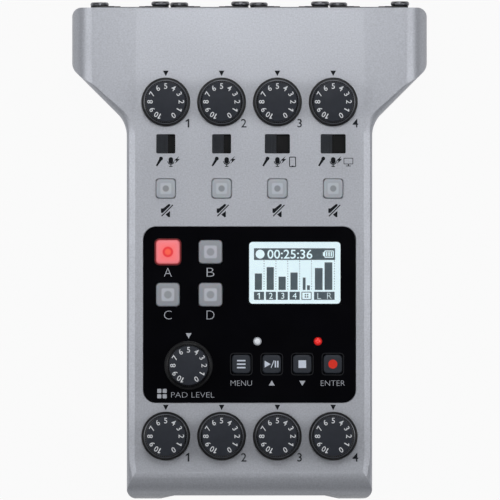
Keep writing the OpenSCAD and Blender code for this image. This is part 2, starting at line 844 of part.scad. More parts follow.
module bottom_tray() color([0.2, 0.205, 0.22]) difference() {
    union() {
        difference() {
            union() {
                translate([0, 0, z_base]) linear_extrude(tray_h) plan(tray_step);
                translate([0, 0, z_base + tray_step]) linear_extrude(tray_h - tray_step) plan(0);
            }
            translate([0, 0, z_floor]) linear_extrude(tray_h) plan(wall);
        }
        intersection() {
            difference() {
                translate([0, 0, z_floor]) linear_extrude(z_split + lip_h - z_floor)
                    plan(wall + slip);
                translate([0, 0, z_floor - over]) linear_extrude(tray_h + lip_h + 2 * over)
                    plan(wall + slip + lip_t);
            }
            translate([-shoulder_w, y_front, 0])
                cube([2 * shoulder_w, y_rear - rear_t - boss_d - 2 * slip - y_front, z_top]);
        }
        for (p = case_bosses) translate(p) rod(case_post_d, z_floor - over, z_split - lift_gap);
        for (p = jack_board_bosses) translate(p)
            rod(board_boss_d, z_floor - over, z_jack_board - board_t);
        battery_bay();
    }
    front_recess_cut();
    door_cut();
    for (p = case_bosses) translate(p) {
        rod(boss_d + 2 * slip, z_split - lift_gap, z_split + lip_h + over);
        rod(case_hole_d, z_base - over, z_split + over);
        rod(case_head_d + 2 * slip, z_base - over, z_base + case_head_sunk + case_head_h);
    }
    for (p = jack_board_bosses) translate(p)
        rod(board_shank_d + 2 * thread_gap, z_jack_tip - tip_room, z_jack_board);
    for (p = feet) translate(p) rod(foot_d + 2 * slip, z_base - over, z_base + foot_sunk);
}

module battery_door() color([0.2, 0.205, 0.22]) difference() {
    union() {
        translate([-side_x, bay_y - door_open_w / 2, z_base])
            cube([door_x1 + side_x, door_open_w, floor_t]);
        translate([-side_x, bay_y - door_open_w / 2 - bay_lap, z_floor - door_lap_t])
            cube([door_x1 + side_x + bay_lap, door_open_w + 2 * bay_lap, door_lap_t]);
        translate([-side_x, bay_y - door_open_w / 2 - bay_lap, z_floor - door_lap_t])
            cube([wall, door_open_w + 2 * bay_lap,
                z_split - lift_gap - z_floor + door_lap_t]);
    }
    translate([-side_x - over, bay_y - bay_w, z_base - over])
        cube([tray_step + over, 2 * bay_w, tray_step + over]);
    for (i = [0:grip_count - 1]) translate([-side_x + grip_first + grip_pitch * i, bay_y, z_base])
        slab(grip_w, door_open_w / 2, -over, grip_depth);
}

module control_panel() color([0.03, 0.03, 0.04]) difference() {
    translate([0, panel_y, 0]) plate(panel_w, panel_l, panel_r, z_seat, z_panel);
    control_holes(z_seat - over, z_panel + over);
    translate(on_panel(window_at)) slab(window_w, window_l, z_seat - over, z_panel + over);
}

module display_lens() color([0.75, 0.8, 0.82, 0.5])
    translate(on_panel(window_at)) slab(window_w - 2 * slip, window_l - 2 * slip, z_seat, z_panel);

module lcd_module() color([0.82, 0.88, 0.9]) translate(on_panel(window_at)) union() {
    slab(window_w + 2 * lcd_frame_rim, window_l + 2 * lcd_frame_rim, z_board, z_lcd_frame);
    slab(window_w + 2 * lcd_glass_rim, window_l + 2 * lcd_glass_rim, z_lcd_frame, z_seat - lcd_gap);
}

module main_board() color([0.05, 0.3, 0.16]) difference() {
    y0 = y_front + board_front_gap;
    tab_x = side_x - wall - board_tab_gap;
    translate([0, 0, z_board_under]) linear_extrude(board_t) union() {
        translate([-board_w / 2, y0]) square([board_w, board_rear_y - y0]);
        translate([-tab_x, usb_y[1] - usb_w]) square([tab_x, usb_y[0] - usb_y[1] + 2 * usb_w]);
        translate([0, card_y - card_w / 2 - card_tab_margin])
            square([tab_x, card_w + 2 * card_tab_margin]);
        translate([0, headset_y - jack_w / 2]) square([tab_x, jack_w]);
    }
    for (p = board_bosses) translate(p) rod(board_screw_d, z_board_under - over, z_board + over);
}

module mic_board() color([0.05, 0.3, 0.16])
    translate([-mic_board_w / 2, y_mic_board - board_t, z_split + mic_board_rise])
        cube([mic_board_w, board_t, z_board_under - mic_board_top_gap - z_split - mic_board_rise]);

module jack_board() color([0.05, 0.3, 0.16]) difference() {
    translate([-jack_board_w / 2, y_jack_board, z_jack_board - board_t])
        cube([jack_board_w, jack_board_l, board_t]);
    for (p = jack_board_bosses) translate(p)
        rod(board_screw_d, z_jack_board - board_t - over, z_jack_board + over);
}

// Microphone socket: flange, barrel and contact core in one moulding
module xlr_socket(i) color([0.08, 0.08, 0.09]) translate([socket_x(i), 0, z_socket]) difference() {
    union() {
        along_y(y_pocket, y_flange) rounded(flange_w, flange_h, flange_r);
        along_y(y_barrel, y_pocket) circle(d = barrel_d);
    }
    difference() {
        along_y(y_flange - socket_depth, y_flange + over) circle(d = socket_d);
        along_y(y_barrel, y_flange - core_sunk) circle(d = core_d);
    }
    for (k = [0:2]) translate([pin_xz(k)[0], 0, pin_xz(k)[1]])
        along_y(y_barrel - over, y_flange + over) circle(d = contact_d + 2 * slip);
    translate([-latch_w / 2 - slip, y_pocket - latch_back, latch_arm_z0 - slip])
        cube([latch_w + 2 * slip, flange_t + latch_back + over, flange_h]);
    translate([-latch_arm_w / 2 - slip, y_flange - socket_depth, core_d / 2 + slip])
        cube([latch_arm_w + 2 * slip, socket_depth + over, barrel_d]);
    for (s = [-1, 1]) translate([s * screw_pitch_x / 2, 0, s * screw_pitch_z / 2])
        along_y(y_pocket - over, y_flange + over) circle(d = screw_shank_d + 2 * slip);
}

// Release tab: a plate to press, and an arm with the hook that holds the plug
module xlr_latch(i) color([0.12, 0.12, 0.13]) translate([socket_x(i), 0, z_socket]) {
    y_face = y_flange - latch_sunk;
    y_back = y_face - flange_t;
    translate([-latch_w / 2, y_back, latch_z0])
        cube([latch_w, flange_t, latch_z1 - latch_z0]);
    translate([-latch_arm_w / 2, y_back - latch_arm_l, latch_arm_z0])
        cube([latch_arm_w, latch_arm_l + flange_t, latch_z0 - latch_arm_z0]);
    translate([-latch_arm_w / 2, y_back - latch_arm_l, latch_tip_z])
        cube([latch_arm_w, latch_tip_l, latch_arm_z0 - latch_tip_z]);
}

module xlr_contacts() color([0.83, 0.68, 0.35]) at_sockets()
    for (k = [0:2]) translate([pin_xz(k)[0], 0, pin_xz(k)[1]]) difference() {
        union() {
            along_y(y_barrel, y_flange - core_sunk - contact_sunk) circle(d = contact_d);
            along_y(y_mic_board, y_barrel) circle(d = tail_d);
        }
        along_y(y_flange - core_sunk - contact_sunk - contact_bore_l, y_flange)
            circle(d = contact_bore_d);
    }

// Cross-shaped recess for a screwdriver
module cross_recess(z0, z1) {
    for (a = [0, 90]) rotate([0, 0, a]) slab(cross_l, cross_w, z0, z1);
}

module xlr_screws() color([0.06, 0.06, 0.06]) at_socket_screws() {
    translate([0, 0, y_flange]) difference() {
        cylinder(d = screw_head_d, h = screw_head_h);
        cross_recess(screw_head_h - cross_depth, screw_head_h + over);
    }
    translate([0, 0, y_flange - rear_t - screw_bite])
        cylinder(d = screw_shank_d, h = rear_t + screw_bite);
}

// Round socket pointing along -Y: a body behind the wall and a nose through it
module jack(y_mouth, y_wall, body_h) {
    y_body = y_wall + jack_inset;
    difference() {
        union() {
            translate([-jack_w / 2, y_body, -body_h / 2])
                cube([jack_w, y_mouth + jack_depth + jack_back_t - y_body, body_h]);
            along_y(y_mouth, y_body) circle(d = jack_nose_d);
        }
        along_y(y_mouth - over, y_mouth + jack_depth) circle(d = jack_bore_d);
    }
}

module phones_jacks() color([0.1, 0.1, 0.11]) for (i = [1:channels]) translate([jack_x(i), 0, z_jack])
    jack(y_front_face + jack_inset, y_front_inner, jack_h);

module headset_jack() color([0.1, 0.1, 0.11])
    translate([0, headset_y, z_headset]) rotate([0, 0, 90])
        jack(-side_x + port_inset, -side_x + wall, headset_h);

module usb_ports() color([0.7, 0.7, 0.72]) for (y = usb_y) {
    x0 = -side_x + port_inset;
    difference() {
        along_x(x0, x0 + usb_l) translate([y, z_usb]) stadium(usb_w, usb_h);
        along_x(x0 - over, x0 + usb_l - usb_back_t) translate([y, z_usb])
            stadium(usb_w - 2 * usb_shell_t, usb_h - 2 * usb_shell_t);
    }
    translate([x0 + usb_tongue_sunk, y - usb_tongue_w / 2, z_usb - usb_tongue_t / 2])
        cube([usb_l - usb_tongue_sunk, usb_tongue_w, usb_tongue_t]);
}

module card_slot() color([0.72, 0.72, 0.74]) {
    x1 = side_x - wall - card_slot_gap;
    x0 = side_x - card_inset - card_l - card_back_gap - card_back_t;
    translate([0, card_y, 0]) difference() {
        translate([x0, -card_w / 2 - card_side_t, z_board_under - card_h])
            cube([x1 - x0, card_w + 2 * card_side_t, card_h]);
        translate([x0 + card_back_t, -card_w / 2 - slip, z_card - card_t / 2 - slip])
            cube([x1 - x0, card_w + 2 * slip, card_t + 2 * slip]);
    }
}

module memory_card() color([0.08, 0.1, 0.2])
    translate([side_x - card_inset - card_l, card_y, z_card - card_t / 2]) difference() {
        translate([0, -card_w / 2, 0]) cube([card_l, card_w, card_t]);
        translate([card_l - card_notch[1], -card_w / 4, card_t - card_notch[2]])
            cube([card_notch[0], card_w / 2, card_t]);
    }

module battery_cells() color([0.75, 0.55, 0.2]) for (s = [-1, 1]) {
    x_mid = bay_x0 + bay_l / 2;
    translate([x_mid, bay_y + s * (cell_d + cell_gap) / 2, z_cell]) rotate([0, s * 90, 0])
        translate([0, 0, -cell_l / 2]) {
            cylinder(d = cell_d, h = cell_l - cell_tip_l);
            cylinder(d = cell_tip_d, h = cell_l);
        }
}

// Flat contact and conical spring contact at the ends of each cell
module battery_contacts() color([0.8, 0.8, 0.8]) for (s = [-1, 1])
    translate([bay_x0 + bay_l / 2, bay_y + s * (cell_d + cell_gap) / 2, z_cell])
        rotate([0, s * 90, 0]) {
            spring_l = (bay_l - cell_l) / 2 - contact_plate_t - cell_gap;
            translate([0, 0, bay_l / 2 - contact_plate_t])
                slab(contact_plate_s, contact_plate_s, 0, contact_plate_t);
            translate([0, 0, cell_l / 2 + cell_gap])
                cylinder(d = spring_d1, h = spring_l);
            translate([0, 0, -bay_l / 2])
                slab(contact_plate_s, contact_plate_s, 0, contact_plate_t);
            translate([0, 0, -bay_l / 2 + contact_plate_t])
                cylinder(d1 = spring_d0, d2 = spring_d1, h = spring_l);
        }

module rubber_feet() color([0.05, 0.05, 0.05])
    for (p = feet) translate(p) rod(foot_d, 0, z_base + foot_sunk);

module case_screws() color([0.1, 0.1, 0.1]) for (p = case_bosses) translate(p) {
    z_head = z_base + case_head_sunk;
    difference() {
        rod(case_head_d, z_head, z_head + case_head_h);
        cross_recess(z_head - over, z_head + cross_depth);
    }
    rod(screw_shank_d, z_head + case_head_h, z_split + case_screw_l);
}

// Screws under the main board, and those that hold the headphone board down
module board_screws() color([0.6, 0.6, 0.62]) {
    for (p = board_bosses) translate(p) {
        rod(board_head_d, z_board_under - board_head_h, z_board_under);
        rod(board_shank_d, z_board_under, z_board + board_screw_l);
    }
    for (p = jack_board_bosses) translate(p) {
        rod(board_head_d, z_jack_board, z_jack_board + board_head_h);
        rod(board_shank_d, z_jack_tip, z_jack_board);
    }
}

module pot_bodies() color([0.25, 0.27, 0.3]) at_all_knobs() difference() {
    union() {
        slab(pot_w, pot_l, z_board, z_pot);
        rod(pot_neck_d, z_pot, z_pot + pot_neck_h);
    }
    rod(stem_d + 2 * run_gap, z_stem - stem_room, z_pot + pot_neck_h + over);
}

// Hollow knob with a flange at its foot and a moulded stem, standing over the top plate
module knob() color([0.1, 0.105, 0.12]) {
    z0 = z_top + knob_gap;
    z1 = z0 + knob_h;
    z_body = z0 + knob_flange_t;
    r = knob_d / 2;
    rb = knob_body_d / 2;
    rt = knob_top_d / 2;
    rotate_extrude() polygon([[0, z_stem], [stem_d / 2, z_stem], [stem_d / 2, z1 - knob_roof],
        [rb - knob_skirt, z1 - knob_roof], [rb - knob_skirt, z0], [r, z0], [r, z_body], [rb, z_body],
        [rt, z1 - knob_chamfer], [rt - knob_chamfer, z1], [0, z1]]);
}

module gain_knob(i) translate([channel_x(i), gain_y, 0]) knob();

module phones_knob(i) translate([channel_x(i), phones_y, 0]) knob();

module pad_knob() translate(on_panel(pad_knob_at)) knob();

// Switch bodies under the mode sliders, and the one behind the power slider
module slide_switches() color([0.55, 0.56, 0.58]) {
    for (i = [1:channels]) translate([channel_x(i), mode_y, 0]) difference() {
        slab(mode_body_w, mode_body_l, z_board, z_mode);
        slab(slider_travel(i) + slider_leg + 4 * button_gap, slider_leg + 2 * button_gap,
            z_mode - slider_leg_in - button_gap, z_mode + over);
    }
    x0 = -side_x + wall + power_plate_gap + power_plate_t + power_leg_l;
    translate([x0, power_y - power_body_l / 2, z_board_under - power_body_h]) difference() {
        cube([power_body_w, power_body_l, power_body_h]);
        translate([-over, (power_body_l - power_travel - power_leg) / 2 - 2 * button_gap,
            (power_body_h - power_leg) / 2 - button_gap])
            cube([power_leg_in + button_gap + over, power_travel + power_leg + 4 * button_gap,
                power_leg + 2 * button_gap]);
    }
}

// Mode slider: cap in the slot, cover plate under the top plate, leg in the switch
module mode_slider(i) color([0.14, 0.145, 0.16]) translate([slider_x(i), mode_y, 0]) {
    z_plate = z_ceiling - lift_gap;
    plate_w = 2 * slot_w(i) - slider_cap_w + 2 * slider_plate_reach;
    slab(slider_cap_w, slot_l - 2 * button_gap, z_plate, z_top + slider_proud);
    slab(plate_w, slot_l + 2 * slider_plate_lap, z_plate - slider_plate_t, z_plate);
    slab(slider_leg, slider_leg, z_mode - slider_leg_in, z_plate - slider_plate_t);
}

module power_slider() color([0.14, 0.145, 0.16])
    translate([-side_x, power_y - power_travel / 2, z_power]) {
        x_plate = wall + power_plate_gap;
        translate([power_sunk, -power_cap_l / 2, -power_cap_h / 2])
            cube([x_plate - power_sunk, power_cap_l, power_cap_h]);
        translate([x_plate, -power_slot_l + power_cap_l / 2 - power_plate_lap,
            -power_cap_h / 2 - power_plate_lap])
            cube([power_plate_t, 2 * power_slot_l - power_cap_l + 2 * power_plate_lap,
                power_cap_h + 2 * power_plate_lap]);
        translate([x_plate + power_plate_t, -power_leg / 2, -power_leg / 2])
            cube([power_leg_l + power_leg_in, power_leg, power_leg]);
    }

module tact_switches() color([0.6, 0.6, 0.62]) {
    at_channels(mute_y) tact_switch();
    at_pads() tact_switch();
    at_keys() tact_switch();
}

module tact_switch() difference() {
    slab(switch_s, switch_s, z_board, z_switch);
    rod(plunger_d + 2 * slip, z_switch - plunger_in - button_travel - plunger_room, z_switch + over);
}

// Push button: cap, retaining lip under the plate that it comes through, and plunger
module button(side, z_face, z_under) {
    z_lip = z_under - lift_gap;
    plate(side, side, button_r, z_lip, z_face + button_proud);
    plate(side + 2 * button_lip, side + 2 * button_lip, button_r, z_lip - button_lip_t, z_lip);
    rod(plunger_d, z_switch - plunger_in, z_lip - button_lip_t);
}

module mute_button(i) color([0.64, 0.66, 0.69])
    translate([channel_x(i), mute_y, 0]) button(mute_s, z_top, z_ceiling);

module pad_button(i) color(i == 0 ? [0.9, 0.3, 0.3] : [0.58, 0.59, 0.62])
    translate(pad_at(i)) button(pad_s, z_panel, z_seat_under);

module key_button(i) color([0.17, 0.18, 0.2])
    translate(key_at(i)) button(key_s, z_panel, z_seat_under);

// Light guides from the board to the panel's face
module status_leds() color([0.9, 0.9, 0.92]) for (p = led_at) translate(on_panel(p)) {
    rod(led_d, z_board, z_panel);
    rod(led_foot_d, z_board, z_board + led_foot_h);
}

top_shell();
bottom_tray();
battery_door();
control_panel();
display_lens();
lcd_module();
main_board();
mic_board();
jack_board();
xlr_contacts();
xlr_screws();
phones_jacks();
headset_jack();
usb_ports();
card_slot();
memory_card();
battery_cells();
battery_contacts();
rubber_feet();
case_screws();
board_screws();
pot_bodies();
slide_switches();
tact_switches();
status_leds();
power_slider();
pad_knob();
key_button(0);  // menu_button
key_button(1);  // play_button
key_button(2);  // stop_button
key_button(3);  // record_button
for (i = [1:channels]) {
    xlr_socket(i);
    xlr_latch(i);
    gain_knob(i);
    phones_knob(i);
    mode_slider(i);
    mute_button(i);
    pad_button(i - 1);
}
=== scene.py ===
"""Looks of a four-channel podcast recorder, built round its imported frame.

Metres, +Z up, +X to the user's right, +Y towards the microphone sockets.
"""

import json
import math

import bmesh
import bpy
from mathutils import Matrix, Vector
from mathutils.bvhtree import BVHTree
from mathutils.geometry import area_tri

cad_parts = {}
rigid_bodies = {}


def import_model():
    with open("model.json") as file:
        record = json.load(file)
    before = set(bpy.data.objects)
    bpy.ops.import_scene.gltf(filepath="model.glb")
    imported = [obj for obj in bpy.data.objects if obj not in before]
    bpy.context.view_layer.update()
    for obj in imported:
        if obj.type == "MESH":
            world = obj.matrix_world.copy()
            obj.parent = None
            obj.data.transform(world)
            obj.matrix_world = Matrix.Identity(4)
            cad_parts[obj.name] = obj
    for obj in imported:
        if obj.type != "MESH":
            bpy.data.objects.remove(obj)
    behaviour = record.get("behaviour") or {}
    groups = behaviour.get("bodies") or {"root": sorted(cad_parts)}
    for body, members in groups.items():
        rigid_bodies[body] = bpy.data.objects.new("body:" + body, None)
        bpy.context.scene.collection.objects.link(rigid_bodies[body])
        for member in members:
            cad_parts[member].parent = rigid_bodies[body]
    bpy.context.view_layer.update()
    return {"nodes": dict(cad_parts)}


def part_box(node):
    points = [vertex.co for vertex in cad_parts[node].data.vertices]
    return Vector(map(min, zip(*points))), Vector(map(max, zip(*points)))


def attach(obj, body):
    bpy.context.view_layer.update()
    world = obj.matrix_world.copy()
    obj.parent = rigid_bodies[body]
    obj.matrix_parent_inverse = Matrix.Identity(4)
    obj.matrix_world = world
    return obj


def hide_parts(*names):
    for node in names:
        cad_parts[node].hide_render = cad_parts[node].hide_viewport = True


for start_object in list(bpy.data.objects):
    bpy.data.objects.remove(start_object)
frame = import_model()
nodes = frame["nodes"]
scene = bpy.context.scene

MM = 0.001
CHANNELS = (1, 2, 3, 4)
PADS = ("a", "b", "c", "d")
KEYS = ("menu", "play", "stop", "record")


def low(node):
    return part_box(node)[0]


def high(node):
    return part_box(node)[1]


def middle(node):
    return (low(node) + high(node)) / 2


PLATE_Z = high("top_shell").z
PANEL_Z = high("control_panel").z
PANEL = middle("control_panel")


# Colours are written as sRGB bytes
def srgb(red, green, blue):
    """Linear colour of three sRGB bytes, by the standard's curve."""
    def linear(byte):
        share = byte / 255
        return share / 12.92 if share <= 0.04045 else ((share + 0.055) / 1.055) ** 2.4

    return (linear(red), linear(green), linear(blue), 1.0)


def shaded(colour, factor):
    return tuple(min(1.0, part * factor) for part in colour[:3]) + (1.0,)


# Material building blocks; most of a noise texture's values lie between the two limits
NOISE_LOW = 0.3
NOISE_HIGH = 0.7
ROUND_POWER = 2.0
SQUARE_POWER = 8.0
GENERATED_MIDDLE = 0.5


class Finish:
    """A principled material whose colour, roughness and bump vary with noise in object space."""

    def __init__(self, name, colour, rough, **inputs):
        self.material = bpy.data.materials.new(name)
        self.material.use_nodes = True
        self.tree = self.material.node_tree
        self.shader = self.tree.nodes["Principled BSDF"]
        self.place = self.tree.nodes.new("ShaderNodeTexCoord")
        self.shader.inputs["Base Color"].default_value = colour
        self.shader.inputs["Roughness"].default_value = rough
        for label, value in inputs.items():
            self.shader.inputs[label.replace("_", " ")].default_value = value
        self.colour = colour
        self.rough = rough

    def node(self, kind, **settings):
        node = self.tree.nodes.new(kind)
        for label, value in settings.items():
            setattr(node, label, value)
        return node

    def link(self, output, socket):
        self.tree.links.new(output, socket)

    def noise(self, size, detail=2.0, stretch=(1, 1, 1)):
        """Noise with features of about this size, drawn out along the axes by stretch."""
        mapping = self.node("ShaderNodeMapping")
        mapping.inputs["Scale"].default_value = [1 / part for part in stretch]
        texture = self.node("ShaderNodeTexNoise")
        texture.inputs["Scale"].default_value = 1 / size
        texture.inputs["Detail"].default_value = detail
        self.link(self.place.outputs["Object"], mapping.inputs["Vector"])
        self.link(mapping.outputs["Vector"], texture.inputs["Vector"])
        return texture.outputs["Fac"]

    def remap(self, output, lowest, highest):
        """Spread noise over the range from lowest to highest."""
        remap = self.node("ShaderNodeMapRange")
        for label, value in zip(("From Min", "From Max", "To Min", "To Max"),
                                (NOISE_LOW, NOISE_HIGH, lowest, highest)):
            remap.inputs[label].default_value = value
        self.link(output, remap.inputs["Value"])
        return remap.outputs["Result"]

    def mottle(self, size, spread, stretch=(1, 1, 1)):
        """Vary the base colour by a small share either way."""
        mix = self.node("ShaderNodeMix", data_type="RGBA")
        mix.inputs["A"].default_value = shaded(self.colour, 1 - spread)
        mix.inputs["B"].default_value = shaded(self.colour, 1 + spread)
        self.link(self.remap(self.noise(size, detail=3.0, stretch=stretch), 0, 1), mix.inputs["Factor"])
        self.link(mix.outputs["Result"], self.shader.inputs["Base Color"])

    def wear(self, size, spread):
        """Vary the roughness by this much either way."""
        rough = self.remap(self.noise(size), self.rough - spread, self.rough + spread)
        self.link(rough, self.shader.inputs["Roughness"])

    def grain(self, size, depth, strength=0.5):
        """Fine bumps of this size and depth."""
        bump = self.node("ShaderNodeBump")
        bump.inputs["Strength"].default_value = strength
        bump.inputs["Distance"].default_value = depth
        self.link(self.noise(size, detail=1.0), bump.inputs["Height"])
        self.link(bump.outputs["Normal"], self.shader.inputs["Normal"])

    def rings(self, round_stops, square_stops, emission=0.0):
        """Colour a button by the distance from its middle: square bands with a round core over them."""
        split = self.node("ShaderNodeSeparateXYZ")
        self.link(self.place.outputs["Generated"], split.inputs["Vector"])
        sides = []
        for axis in "XY":
            centred = self.node("ShaderNodeMath", operation="SUBTRACT")
            centred.inputs[1].default_value = GENERATED_MIDDLE
            self.link(split.outputs[axis], centred.inputs[0])
            sides.append(centred.outputs["Value"])
        outer = self.ramp(self.distance(sides, SQUARE_POWER), square_stops)
        core = self.ramp(self.distance(sides, ROUND_POWER), round_stops)
        over = self.node("ShaderNodeMix", data_type="RGBA")
        self.link(core.outputs["Alpha"], over.inputs["Factor"])
        self.link(outer.outputs["Color"], over.inputs["A"])
        self.link(core.outputs["Color"], over.inputs["B"])
        self.link(over.outputs["Result"], self.shader.inputs["Base Color"])
        if emission:
            self.link(over.outputs["Result"], self.shader.inputs["Emission Color"])
            self.shader.inputs["Emission Strength"].default_value = emission

    def distance(self, outputs, power):
        """Distance from the middle: round for the power of two, nearly square for a high one."""
        raised = []
        for output in outputs:
            size = self.node("ShaderNodeMath", operation="ABSOLUTE")
            self.link(output, size.inputs[0])
            lifted = self.node("ShaderNodeMath", operation="POWER")
            lifted.inputs[1].default_value = power
            self.link(size.outputs["Value"], lifted.inputs[0])
            raised.append(lifted.outputs["Value"])
        total = self.node("ShaderNodeMath", operation="ADD")
        self.link(raised[0], total.inputs[0])
        self.link(raised[1], total.inputs[1])
        result = self.node("ShaderNodeMath", operation="POWER")
        result.inputs[1].default_value = 1 / power
        self.link(total.outputs["Value"], result.inputs[0])
        return result.outputs["Value"]

    def ramp(self, output, stops):
        ramp = self.node("ShaderNodeValToRGB")
        while len(ramp.color_ramp.elements) < len(stops):
            ramp.color_ramp.elements.new(1.0)
        for element, (place, colour) in zip(ramp.color_ramp.elements, stops):
            element.position = place
            element.color = colour
        self.link(output, ramp.inputs["Fac"])
        return ramp


def silver_paint():
    paint = Finish("silver_paint", srgb(188, 191, 199), 0.36, Metallic=0.25, Specular_IOR_Level=0.3)
    paint.mottle(size=0.5 * MM, spread=0.1)
    paint.wear(size=18 * MM, spread=0.03)
    paint.grain(size=0.22 * MM, depth=0.012 * MM, strength=0.35)
    return paint.material


def moulded(name, colour, rough=0.55, grain=0.02, shine=0.5):
    """Plastic with a fine grain, whose depth is given in millimetres."""
    plastic = Finish(name, colour, rough, Specular_IOR_Level=shine)
    plastic.mottle(size=2 * MM, spread=0.08)
    plastic.wear(size=6 * MM, spread=0.06)
    plastic.grain(size=0.3 * MM, depth=grain * MM)
    return plastic.material


def metal(name, colour, rough=0.32):
    plated = Finish(name, colour, rough, Metallic=1.0)
    plated.mottle(size=1.5 * MM, spread=0.05)
    plated.wear(size=1.2 * MM, spread=0.08)
    plated.grain(size=0.4 * MM, depth=0.004 * MM)
    return plated.material


def gloss_panel():
    panel = Finish("black_gloss", srgb(5, 5, 9), 0.13, Specular_IOR_Level=0.2)
    panel.mottle(size=9 * MM, spread=0.15)
    panel.wear(size=14 * MM, spread=0.03)
    return panel.material


def clear_lens():
    lens = Finish("clear_lens", srgb(250, 252, 252), 0.02, IOR=1.49, Transmission_Weight=1.0)
    lens.wear(size=7 * MM, spread=0.012)
    return lens.material


def lcd_glass():
    """Lit face of the display, a little uneven like a real backlight."""
    glass = Finish("lcd_glass", srgb(90, 98, 102), 0.3, Emission_Strength=1.12)
    mix = glass.node("ShaderNodeMix", data_type="RGBA")
    mix.inputs["A"].default_value = srgb(213, 232, 239)
    mix.inputs["B"].default_value = srgb(223, 239, 244)
    glass.link(glass.remap(glass.noise(12 * MM), 0, 1), mix.inputs["Factor"])
    glass.link(mix.outputs["Result"], glass.shader.inputs["Emission Color"])
    return glass.material


def lcd_shade():
    """Dark part of the display, through which some of the backlight comes."""
    shade = Finish("lcd_ink", srgb(40, 45, 48), 0.3, Emission_Strength=0.52)
    shade.shader.inputs["Emission Color"].default_value = srgb(104, 118, 127)
    shade.mottle(size=0.5 * MM, spread=0.08, stretch=(1, 40, 1))
    return shade.material


def red_glow():
    """Light from the lit pad on the edge of its hole."""
    glow = Finish("red_glow", srgb(46, 6, 9), 0.3, Emission_Strength=0.5)
    glow.shader.inputs["Emission Color"].default_value = srgb(112, 10, 16)
    glow.mottle(size=0.8 * MM, spread=0.2)
    return glow.material


def grey_silicone(name, dark, pale, core_shade):
    """Translucent button: a pale square with a round core, inside a darker border."""
    middle_grey = shaded(dark, core_shade)
    clear_core = dark[:3] + (0.0,)
    rubber = Finish(name, pale, 0.5, Subsurface_Weight=0.2, Subsurface_Scale=1 * MM)
    square = ((0.0, pale), (0.2, pale), (0.24, dark), (0.35, shaded(dark, 1.05)),
              (0.41, shaded(dark, 0.82)))
    core = ((0.0, middle_grey), (0.11, middle_grey), (0.15, clear_core), (1.0, clear_core))
    rubber.rings(core, square)
    rubber.grain(size=0.25 * MM, depth=0.01 * MM)
    return rubber.material


def red_silicone():
    """The lit pad: a deep red ring round a warm middle, paler towards the rim."""
    rim = srgb(228, 118, 124)
    field = srgb(240, 108, 110)
    ring = srgb(214, 42, 48)
    warm = srgb(246, 86, 62)
    clear_ring = ring[:3] + (0.0,)
    rubber = Finish("red_silicone", field, 0.5)
    square = ((0.0, field), (0.2, field), (0.36, rim), (0.4, shaded(rim, 0.85)), (0.43, ring))
    core = ((0.0, warm), (0.08, warm), (0.12, ring), (0.165, ring), (0.2, clear_ring))
    rubber.rings(core, square, emission=0.4)
    rubber.grain(size=0.25 * MM, depth=0.01 * MM)
    return rubber.material


def lamp_cover(name, colour, strength):
    """Lit light guide, a little uneven."""
    guide = Finish(name, colour, 0.25, Emission_Color=colour, Emission_Strength=strength)
    guide.mottle(size=0.6 * MM, spread=0.06)
    return guide.material


def board_finish():
    """Solder mask over copper tracks."""
    board = Finish("board", srgb(20, 74, 48), 0.38)
    board.mottle(size=2.5 * MM, spread=0.35, stretch=(1, 6, 1))
    board.grain(size=0.8 * MM, depth=0.02 * MM)
    return board.material


def ink(name, colour):
    paint = Finish(name, colour, 0.6, Specular_IOR_Level=0.15)
    paint.mottle(size=0.4 * MM, spread=0.05)
    return paint.material


SILVER = silver_paint()
INNER = moulded("shell_inside", srgb(26, 27, 31))
GREY = moulded("grey_plastic", srgb(64, 66, 72), rough=0.58)
PANEL_GLOSS = gloss_panel()
LENS = clear_lens()
LCD = lcd_glass()
BOARD = board_finish()
BLACK = moulded("black_plastic", srgb(24, 25, 28), rough=0.42)
KNOB = moulded("knob_side", srgb(15, 16, 20), rough=0.42, grain=0.03, shine=0.35)
KNOB_TOP = moulded("knob_top", srgb(40, 44, 53), rough=0.5, grain=0.008, shine=0.25)
# Glossy knob bead, paler than the knob: the extra lightness is a painted highlight
KNOB_BEAD_HIGHLIGHT = moulded("knob_bead_painted_highlight", srgb(104, 107, 114), rough=0.25, grain=0.004)
SLIDER = moulded("slider_plastic", srgb(42, 46, 53), rough=0.5, shine=0.3)
APRON = moulded("slider_apron", srgb(10, 11, 15), rough=0.5, shine=0.2)
MUTE = grey_silicone("mute_silicone", srgb(177, 183, 191), srgb(196, 202, 210), core_shade=0.68)
PAD = grey_silicone("pad_silicone", srgb(156, 160, 168), srgb(196, 200, 209), core_shade=1.05)
PAD_LIT = red_silicone()
KEY = moulded("key_plastic", srgb(42, 47, 56), rough=0.46, shine=0.3)
BEZEL = moulded("key_bezel", srgb(21, 23, 28), rough=0.4, shine=0.2)
STEEL = metal("steel", srgb(190, 191, 194))
BLACK_STEEL = metal("black_steel", srgb(44, 44, 47), rough=0.38)
SCREW_STEEL = metal("screw_steel", srgb(112, 113, 117), rough=0.34)
GOLD = metal("gold", srgb(214, 178, 104), rough=0.25)
RUBBER = moulded("rubber", srgb(30, 30, 32), rough=0.85, grain=0.05)
CELL = moulded("cell_sleeve", srgb(176, 134, 60), rough=0.35)
CARD = moulded("card_plastic", srgb(28, 32, 46), rough=0.4)
LED_WHITE = lamp_cover("led_white", srgb(206, 210, 216), strength=0.35)
LED_RED = lamp_cover("led_red", srgb(228, 48, 44), strength=0.45)
DARK_INK = ink("dark_ink", srgb(16, 18, 24))
GREY_INK = ink("grey_ink", srgb(36, 39, 46))
WHITE_INK = ink("white_ink", srgb(226, 229, 233))
PANEL_INK = ink("panel_ink", srgb(186, 190, 198))
SYMBOL_INK = ink("symbol_ink", srgb(218, 226, 240))
RED_INK = ink("red_ink", srgb(238, 58, 42))
LCD_INK = lcd_shade()
PAD_GLOW = red_glow()


